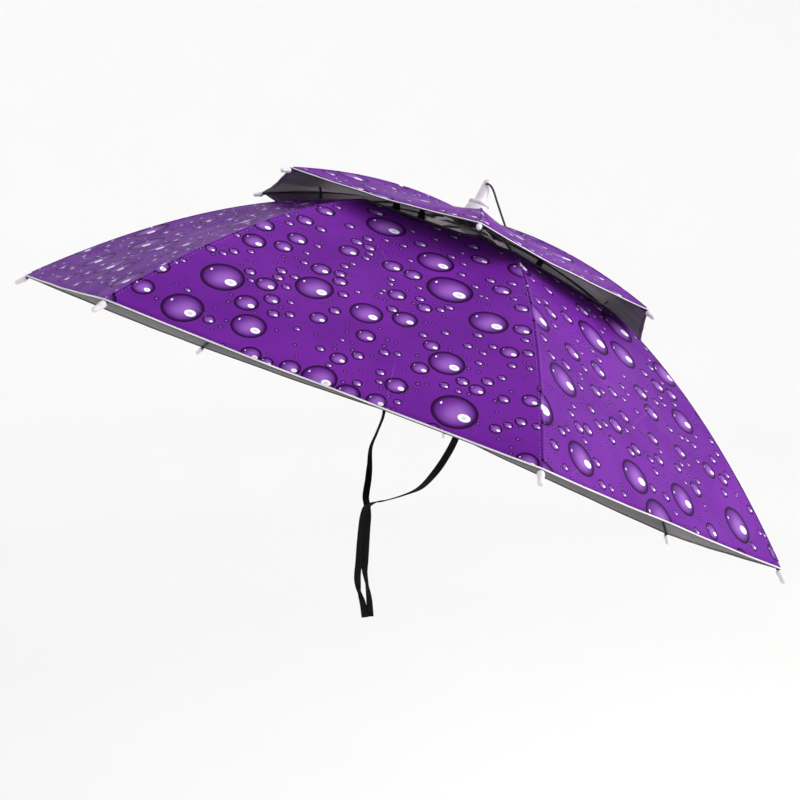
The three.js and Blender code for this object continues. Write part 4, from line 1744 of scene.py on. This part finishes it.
@dataclass
class RibFrame:
    """The ribs of both canopies, the stretchers with their collars, and the hub."""

    rib_radius: float = 1.6 * MM
    top_rib_radius: float = 1.2 * MM
    stretcher_radius: float = 1.5 * MM
    stretcher_reach: float = 190 * MM
    hub_radius: float = 13 * MM
    neck_radius: float = 6 * MM
    neck_height: float = 18 * MM
    rows: int = 30

    def depth(self, radius: float) -> float:
        """How far a rib's middle lies under its rib line."""
        return (HALF_WALL + CLOTH_FIT + radius) / math.cos(HALF_PITCH)

    def hub_top(self) -> float:
        """The height at which the hub ends under the top canopy."""
        return TOP_APEX - self.depth(self.top_rib_radius) + self.top_rib_radius

    def rib(self, form: CanopyForm, index: int, radius: float) -> list[Vector]:
        """The middle line of a rib from the hub to the rim.

        Args:
            form: the canopy that it carries.
            index: the rib.
            radius: its radius.

        Returns:
            The points.
        """
        start = (self.hub_radius + GAP) / form.radius
        outs = [start + (1 - start) * row / self.rows for row in range(self.rows + 1)]
        return [form.under_rib(index, out, self.depth(radius)) for out in outs]

    def stretcher(self, index: int) -> list[Vector]:
        """The foot and the head of a stretcher, as the frame has them.

        Args:
            index: the rib that it carries.

        Returns:
            The two points.
        """
        heading = MAIN_FORM.rib_heading(index)
        out = self.stretcher_reach / MAIN_FORM.radius
        reach = 1 / math.hypot(math.sin(heading) / Headband.breadth * 2, math.cos(heading) / Headband.length * 2)
        foot_height = BAND_HEIGHT + Headband.tall / 4
        middle = MAIN_FORM.under_rib(index, out, self.depth(self.rib_radius))
        run = (middle - polar(heading, reach, foot_height)).normalized()
        foot = polar(heading, reach + GAP + self.stretcher_radius * run.z, foot_height)
        square = run.dot(polar(heading, *MAIN_FORM.rib_normal(index, out)))
        stand_off = self.rib_radius + GAP + self.stretcher_radius * math.sqrt(1 - square**2)
        return [foot, MAIN_FORM.under_rib(index, out, self.depth(self.rib_radius) + stand_off)]

    def hub(self, wardrobe: Wardrobe) -> bpy.types.Object:
        """Builds the hub as one turned piece, with a shallow groove round its middle and a smooth neck.

        Args:
            wardrobe: the finishes.

        Returns:
            The piece.
        """
        bottom = MAIN_FORM.rise - self.depth(self.rib_radius) - self.rib_radius - 3 * MM
        top = self.hub_top()
        profile = [
            (0.0, bottom),
            (self.hub_radius * 0.72, bottom),
            (self.hub_radius * 0.8, bottom + 0.3 * MM),
            (self.hub_radius * 0.97, bottom + 1.7 * MM),
            (self.hub_radius, bottom + 2.4 * MM),
            (self.hub_radius, bottom + 8 * MM),
            (self.hub_radius * 0.93, bottom + 8.4 * MM),
            (self.hub_radius * 0.93, top - 5 * MM),
            (self.hub_radius, top - 4.6 * MM),
            (self.hub_radius, top - 0.5 * MM),
            (self.hub_radius * 0.96, top),
            (self.neck_radius, top),
            (self.neck_radius, top + self.neck_height - 0.6 * MM),
            (self.neck_radius * 0.9, top + self.neck_height),
            (0.0, top + self.neck_height),
        ]
        shape = Shape()
        lathe(shape, Vector((0, 0, 0)), Vector((0, 0, 1)), profile, 42)
        obj = shape.build("hub_body", [wardrobe.get(Slot.BLACK_PLASTIC)])
        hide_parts("hub")
        return obj

    def make(self, wardrobe: Wardrobe) -> list[bpy.types.Object]:
        """Builds the rods, their clips and the hub.

        Args:
            wardrobe: the finishes.

        Returns:
            The pieces.
        """
        made = [self.hub(wardrobe)]
        looks = [wardrobe.get(Slot.ROD), wardrobe.get(Slot.BLACK_PLASTIC)]
        for index in range(RIB_COUNT):
            number = index + 1
            for prefix, name, form, radius in (
                ("main_rib", "main_rod", MAIN_FORM, self.rib_radius),
                ("top_rib", "top_rod", TOP_FORM, self.top_rib_radius),
            ):
                shape = Shape()
                rod(shape, self.rib(form, index, radius), radius)
                obj = shape.build(f"{name}_{number}", looks)
                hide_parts(f"{prefix}_{number}")
                made.append(obj)
            foot, head = self.stretcher(index)
            shape = Shape()
            points = [foot.lerp(head, share) for share in (0.0, 0.25, 0.5, 0.75, 1.0)]
            rod(shape, points, self.stretcher_radius)
            run = (head - foot).normalized()
            shares = ((0.0, 0.0), (2.3, 0.0), (2.6, 0.5), (2.6, 9), (2.0, 10), (0.0, 10))
            collar = [(wide * MM, along * MM) for wide, along in shares]
            lathe(shape, foot, run, collar, 18, 1)
            lathe(shape, head, -run, collar, 18, 1)
            obj = shape.build(f"stretcher_rod_{number}", looks)
            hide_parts(f"stretcher_{number}")
            made.append(obj)
        return made


# Rings of turned pieces: the share of the length, and the share of the radius there.
TIP_PROFILE = (
    (0.0, 0.0), (0.0, 0.76), (0.02, 0.84), (0.10, 0.98), (0.16, 1.0), (0.28, 1.0),
    (0.34, 0.95), (0.42, 0.80), (0.50, 0.78), (0.66, 0.83), (0.80, 0.85), (0.90, 0.72),
    (0.96, 0.50), (0.99, 0.26), (1.0, 0.0),
)


@dataclass
class Tips:
    """The white plastic tips on the ends of the ribs."""

    frame: RibFrame
    length: float = 15 * MM
    radius: float = 3.4 * MM
    top_length: float = 12 * MM
    top_radius: float = 3 * MM
    profile: tuple[tuple[float, float], ...] = TIP_PROFILE

    def make(self, wardrobe: Wardrobe) -> list[bpy.types.Object]:
        """Builds every tip.

        Args:
            wardrobe: the finishes.

        Returns:
            The pieces.
        """
        made = []
        look = [wardrobe.get(Slot.WHITE_PLASTIC)]
        kinds = (
            ("main_tip", "rib_tip", MAIN_FORM, self.frame.rib_radius, self.length, self.radius),
            ("small_tip", "top_tip", TOP_FORM, self.frame.top_rib_radius, self.top_length, self.top_radius),
        )
        for name, node, form, rib_radius, length, radius in kinds:
            for index in range(RIB_COUNT):
                run = form.run_at_rim(index)
                base = form.under_rib(index, 1.0, self.frame.depth(rib_radius)) + run * GAP
                shape = Shape()
                lathe(shape, base, run, [(wide * radius, along * length) for along, wide in self.profile], 24)
                obj = shape.build(f"{name}_{index + 1}", look)
                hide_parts(f"{node}_{index + 1}")
                made.append(obj)
        return made


FINIAL_PROFILE = (
    (0.0, 0.0), (0.0, 0.97), (0.012, 1.0), (0.10, 0.94), (0.22, 0.86), (0.305, 0.755),
    (0.322, 0.74), (0.330, 0.775), (0.342, 0.79), (0.385, 0.79), (0.398, 0.775), (0.406, 0.72),
    (0.411, 0.50), (0.43, 0.465), (0.62, 0.40), (0.80, 0.34), (0.90, 0.305), (0.945, 0.265),
    (0.975, 0.20), (0.993, 0.10), (1.0, 0.0),
)


@dataclass
class Finial:
    """The white finial over the top canopy: a flared skirt, a collar and a cone."""

    radius: float = 17 * MM
    height: float = 50.5 * MM
    profile: tuple[tuple[float, float], ...] = FINIAL_PROFILE
    eye_height: float = 43.4 * MM
    eye_radius: float = 2.0 * MM

    def make(self, wardrobe: Wardrobe) -> bpy.types.Object:
        """Builds the finial.

        Args:
            wardrobe: the finishes.

        Returns:
            The piece.
        """
        base = Vector((0, 0, TOP_APEX + HALF_WALL + GAP))
        shape = Shape()
        rows = [(wide * self.radius, along * self.height) for along, wide in self.profile]
        lathe(shape, base, Vector((0, 0, 1)), rows, 56)
        outward = Vector((*FinialCord.route[0][:2], 0)).normalized()
        eye = base + Vector((0, 0, self.eye_height)) + outward * 4.2 * MM
        rim = [(0.0, 0.0), (self.eye_radius, 0.0), (self.eye_radius, 1.3 * MM), (self.eye_radius * 0.72, 1.7 * MM), (0.0, 1.7 * MM)]
        lathe(shape, eye, outward, rim, 20)
        lathe(shape, eye, outward, [(0.0, 0.5 * MM), (1.42 * MM, 0.5 * MM), (1.42 * MM, 1.85 * MM), (0.0, 1.85 * MM)], 20, 1)
        looks = [wardrobe.get(Slot.WHITE_PLASTIC), wardrobe.get(Slot.BLACK_PLASTIC)]
        obj = shape.build("finial_cone", looks)
        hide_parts("finial")
        return obj


@dataclass
class Headband:
    """The oval elastic headband, with rolled edges and two sewn lines."""

    length: float = 196 * MM
    breadth: float = 158.5 * MM
    tall: float = 30 * MM
    wall: float = 2.5 * MM
    steps: int = 120

    def make(self, wardrobe: Wardrobe) -> bpy.types.Object:
        """Builds the band.

        Args:
            wardrobe: the finishes.

        Returns:
            The piece.
        """
        half, thin = self.tall / 2, self.wall / 2
        section = [
            (thin * 0.5, -half),
            (thin, -half * 0.94),
            (thin, -half * 0.80),
            (thin * 0.7, -half * 0.77),
            (thin, -half * 0.74),
            (thin, half * 0.74),
            (thin * 0.7, half * 0.77),
            (thin, half * 0.80),
            (thin, half * 0.94),
            (thin * 0.5, half),
            (-thin * 0.5, half),
            (-thin, half * 0.94),
            (-thin, -half * 0.94),
            (-thin * 0.5, -half),
        ]
        shape = Shape()
        count = len(section)
        edge = [0.0]
        for first, second in zip(section, section[1:] + section[:1]):
            edge.append(edge[-1] + math.dist(first, second))
        run = [0.0]
        line = []
        for step in range(self.steps):
            turn = 2 * math.pi * step / self.steps
            wide, deep = self.breadth / 2 - thin, self.length / 2 - thin
            line.append(Vector((math.cos(turn) * wide, math.sin(turn) * deep, BAND_HEIGHT)))
            out = Vector((math.cos(turn) * deep, math.sin(turn) * wide, 0)).normalized()
            for a, b in section:
                shape.points.append(line[-1] + out * a + Vector((0, 0, b)))
        for before, after in zip(line, line[1:] + line[:1]):
            run.append(run[-1] + (after - before).length)
        for step in range(self.steps):
            here, there = step * count, (step + 1) % self.steps * count
            for i in range(count):
                j = (i + 1) % count
                places = (
                    (edge[i], run[step]),
                    (edge[i], run[step + 1]),
                    (edge[i + 1], run[step + 1]),
                    (edge[i + 1], run[step]),
                )
                shape.face((here + i, there + i, there + j, here + j), places)
        obj = shape.build("headband_elastic", [wardrobe.get(Slot.ELASTIC)])
        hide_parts("headband")
        return obj


# Studio


@dataclass
class Studio:
    """A pale floor that sweeps up behind, soft lights and the camera."""

    camera_place: tuple[float, float, float] = (1.0871, -0.8329, 0.3350)
    camera_heading: float = 53.17
    camera_drop: float = 15.0
    lens: float = 52.04
    floor_height: float = -1.80

    def aim(self, obj: bpy.types.Object, target: Vector) -> None:
        """Turns a light towards a point."""
        obj.rotation_mode = "QUATERNION"
        obj.rotation_quaternion = (target - obj.location).to_track_quat("-Z", "Y")

    def camera(self) -> None:
        """Places the camera at the photograph's viewing angle."""
        data = bpy.data.cameras.new("camera")
        data.lens = self.lens
        data.sensor_width = 36.0
        data.clip_start = 0.02
        obj = bpy.data.objects.new("camera", data)
        obj.location = self.camera_place
        obj.rotation_euler = (math.radians(90 - self.camera_drop), 0, math.radians(self.camera_heading))
        bpy.context.scene.collection.objects.link(obj)
        bpy.context.scene.camera = obj

    def light(self, name: str, place: tuple[float, float, float], size: float, power: float, tint: Colour) -> None:
        """Adds a soft square light that looks at the hat.

        Args:
            name: its name.
            place: where it hangs.
            size: the length of its side.
            power: its power in watts.
            tint: its colour.
        """
        data = bpy.data.lights.new(name, "AREA")
        data.size = size
        data.energy = power
        data.color = tint
        obj = bpy.data.objects.new(name, data)
        obj.location = place
        self.aim(obj, Vector((0.0, 0.05, 0.05)))
        bpy.context.scene.collection.objects.link(obj)

    def backdrop(self) -> None:
        """Adds a floor that curves up into a wall all round, as one bowl."""
        sketch = NodeSketch("studio_white")
        speckle = sketch.noise(sketch.object_place(), 3.0)
        sketch.surface(
            Base_Color=sketch.mixed(speckle, (0.94, 0.94, 0.94), (0.955, 0.955, 0.955)),
            Roughness=0.9,
        )
        rows = [(0.0, 0.0), (2.0, 0.0), (3.2, 0.0), (3.9, 0.12), (4.4, 0.45), (4.7, 1.0), (4.8, 1.8), (4.8, 3.4)]
        sides = 64
        points = [Vector((0, 0, self.floor_height))]
        for radius, height in rows[1:]:
            points += [Vector((a, b, self.floor_height + height)) for a, b in ring(radius, sides)]
        faces = []
        for i in range(sides):
            j = (i + 1) % sides
            faces.append((0, 1 + i, 1 + j))
            for row in range(len(rows) - 2):
                a, b = 1 + row * sides, 1 + (row + 1) * sides
                faces.append((a + i, b + i, b + j, a + j))
        mesh = bpy.data.meshes.new("floor")
        mesh.from_pydata(points, [], faces)
        mesh.materials.append(sketch.material)
        mesh.polygons.foreach_set("use_smooth", [True] * len(faces))
        floor = bpy.data.objects.new("floor", mesh)
        bpy.context.scene.collection.objects.link(floor)

    def world(self) -> None:
        """Fills the room with even white light."""
        world = bpy.data.worlds.new("room")
        world.use_nodes = True
        world.node_tree.nodes["Background"].inputs["Color"].default_value = (1.0, 1.0, 1.0, 1.0)
        world.node_tree.nodes["Background"].inputs["Strength"].default_value = 0.80
        bpy.context.scene.world = world

    def make(self) -> None:
        """Sets up the whole studio."""
        self.camera()
        self.world()
        self.backdrop()
        self.light("key", (2.1, 2.2, 1.35), 2.2, 92.0, (1.0, 0.98, 0.96))
        self.light("fill", (0.6, -2.8, 1.8), 2.6, 8.0, (0.97, 0.98, 1.0))
        bpy.context.scene.view_settings.view_transform = "Standard"


def main() -> None:
    """Builds the studio, the cords and every sub-assembly of the hat in order."""
    Studio().make()
    wardrobe = Wardrobe()
    pieces = [
        ChinStrap("left", LEFT_ROUTE).make(wardrobe),
        ChinStrap("right", RIGHT_ROUTE).make(wardrobe),
        FinialCord().make(wardrobe),
    ]
    gores = tuple(f"main_gore_{number}" for number in range(1, RIB_COUNT + 1))
    main_rods = tuple(f"main_rod_{number}" for number in range(1, RIB_COUNT + 1))
    top_rods = tuple(f"top_rod_{number}" for number in range(1, RIB_COUNT + 1))
    neck_hole = (6.3 * MM) / math.cos(HALF_PITCH) / TOP_RADIUS
    main_canopy = Canopy("main_canopy", MAIN_FORM, VENT_OUT, 44, 28, (0.0, 0.0), gores, main_rods)
    top_canopy = Canopy("top_canopy", TOP_FORM, neck_hole, 34, 22, (9.4, 0.21), ("top_canopy",), top_rods)
    # Its lining is painted darker and purple than the main lining, as painted shade.
    top_canopy.lining = "top_lining_painted_shade"
    pieces += main_canopy.make(wardrobe)
    pieces += top_canopy.make(wardrobe)
    pieces.append(VentTape().make(wardrobe))
    pieces += VentStraps().make(wardrobe)
    pieces.append(CornerTie().make(wardrobe))
    pieces.append(Rosette().make(wardrobe))
    rib_frame = RibFrame()
    pieces += rib_frame.make(wardrobe)
    pieces += Tips(rib_frame).make(wardrobe)
    pieces.append(Finial().make(wardrobe))
    pieces.append(Headband().make(wardrobe))
    for piece in pieces:
        log.info("%s: %d faces", piece.name, len(piece.data.polygons))


if __name__ == "__main__":
    logging.basicConfig(level=logging.INFO, format="%(message)s")
    main()
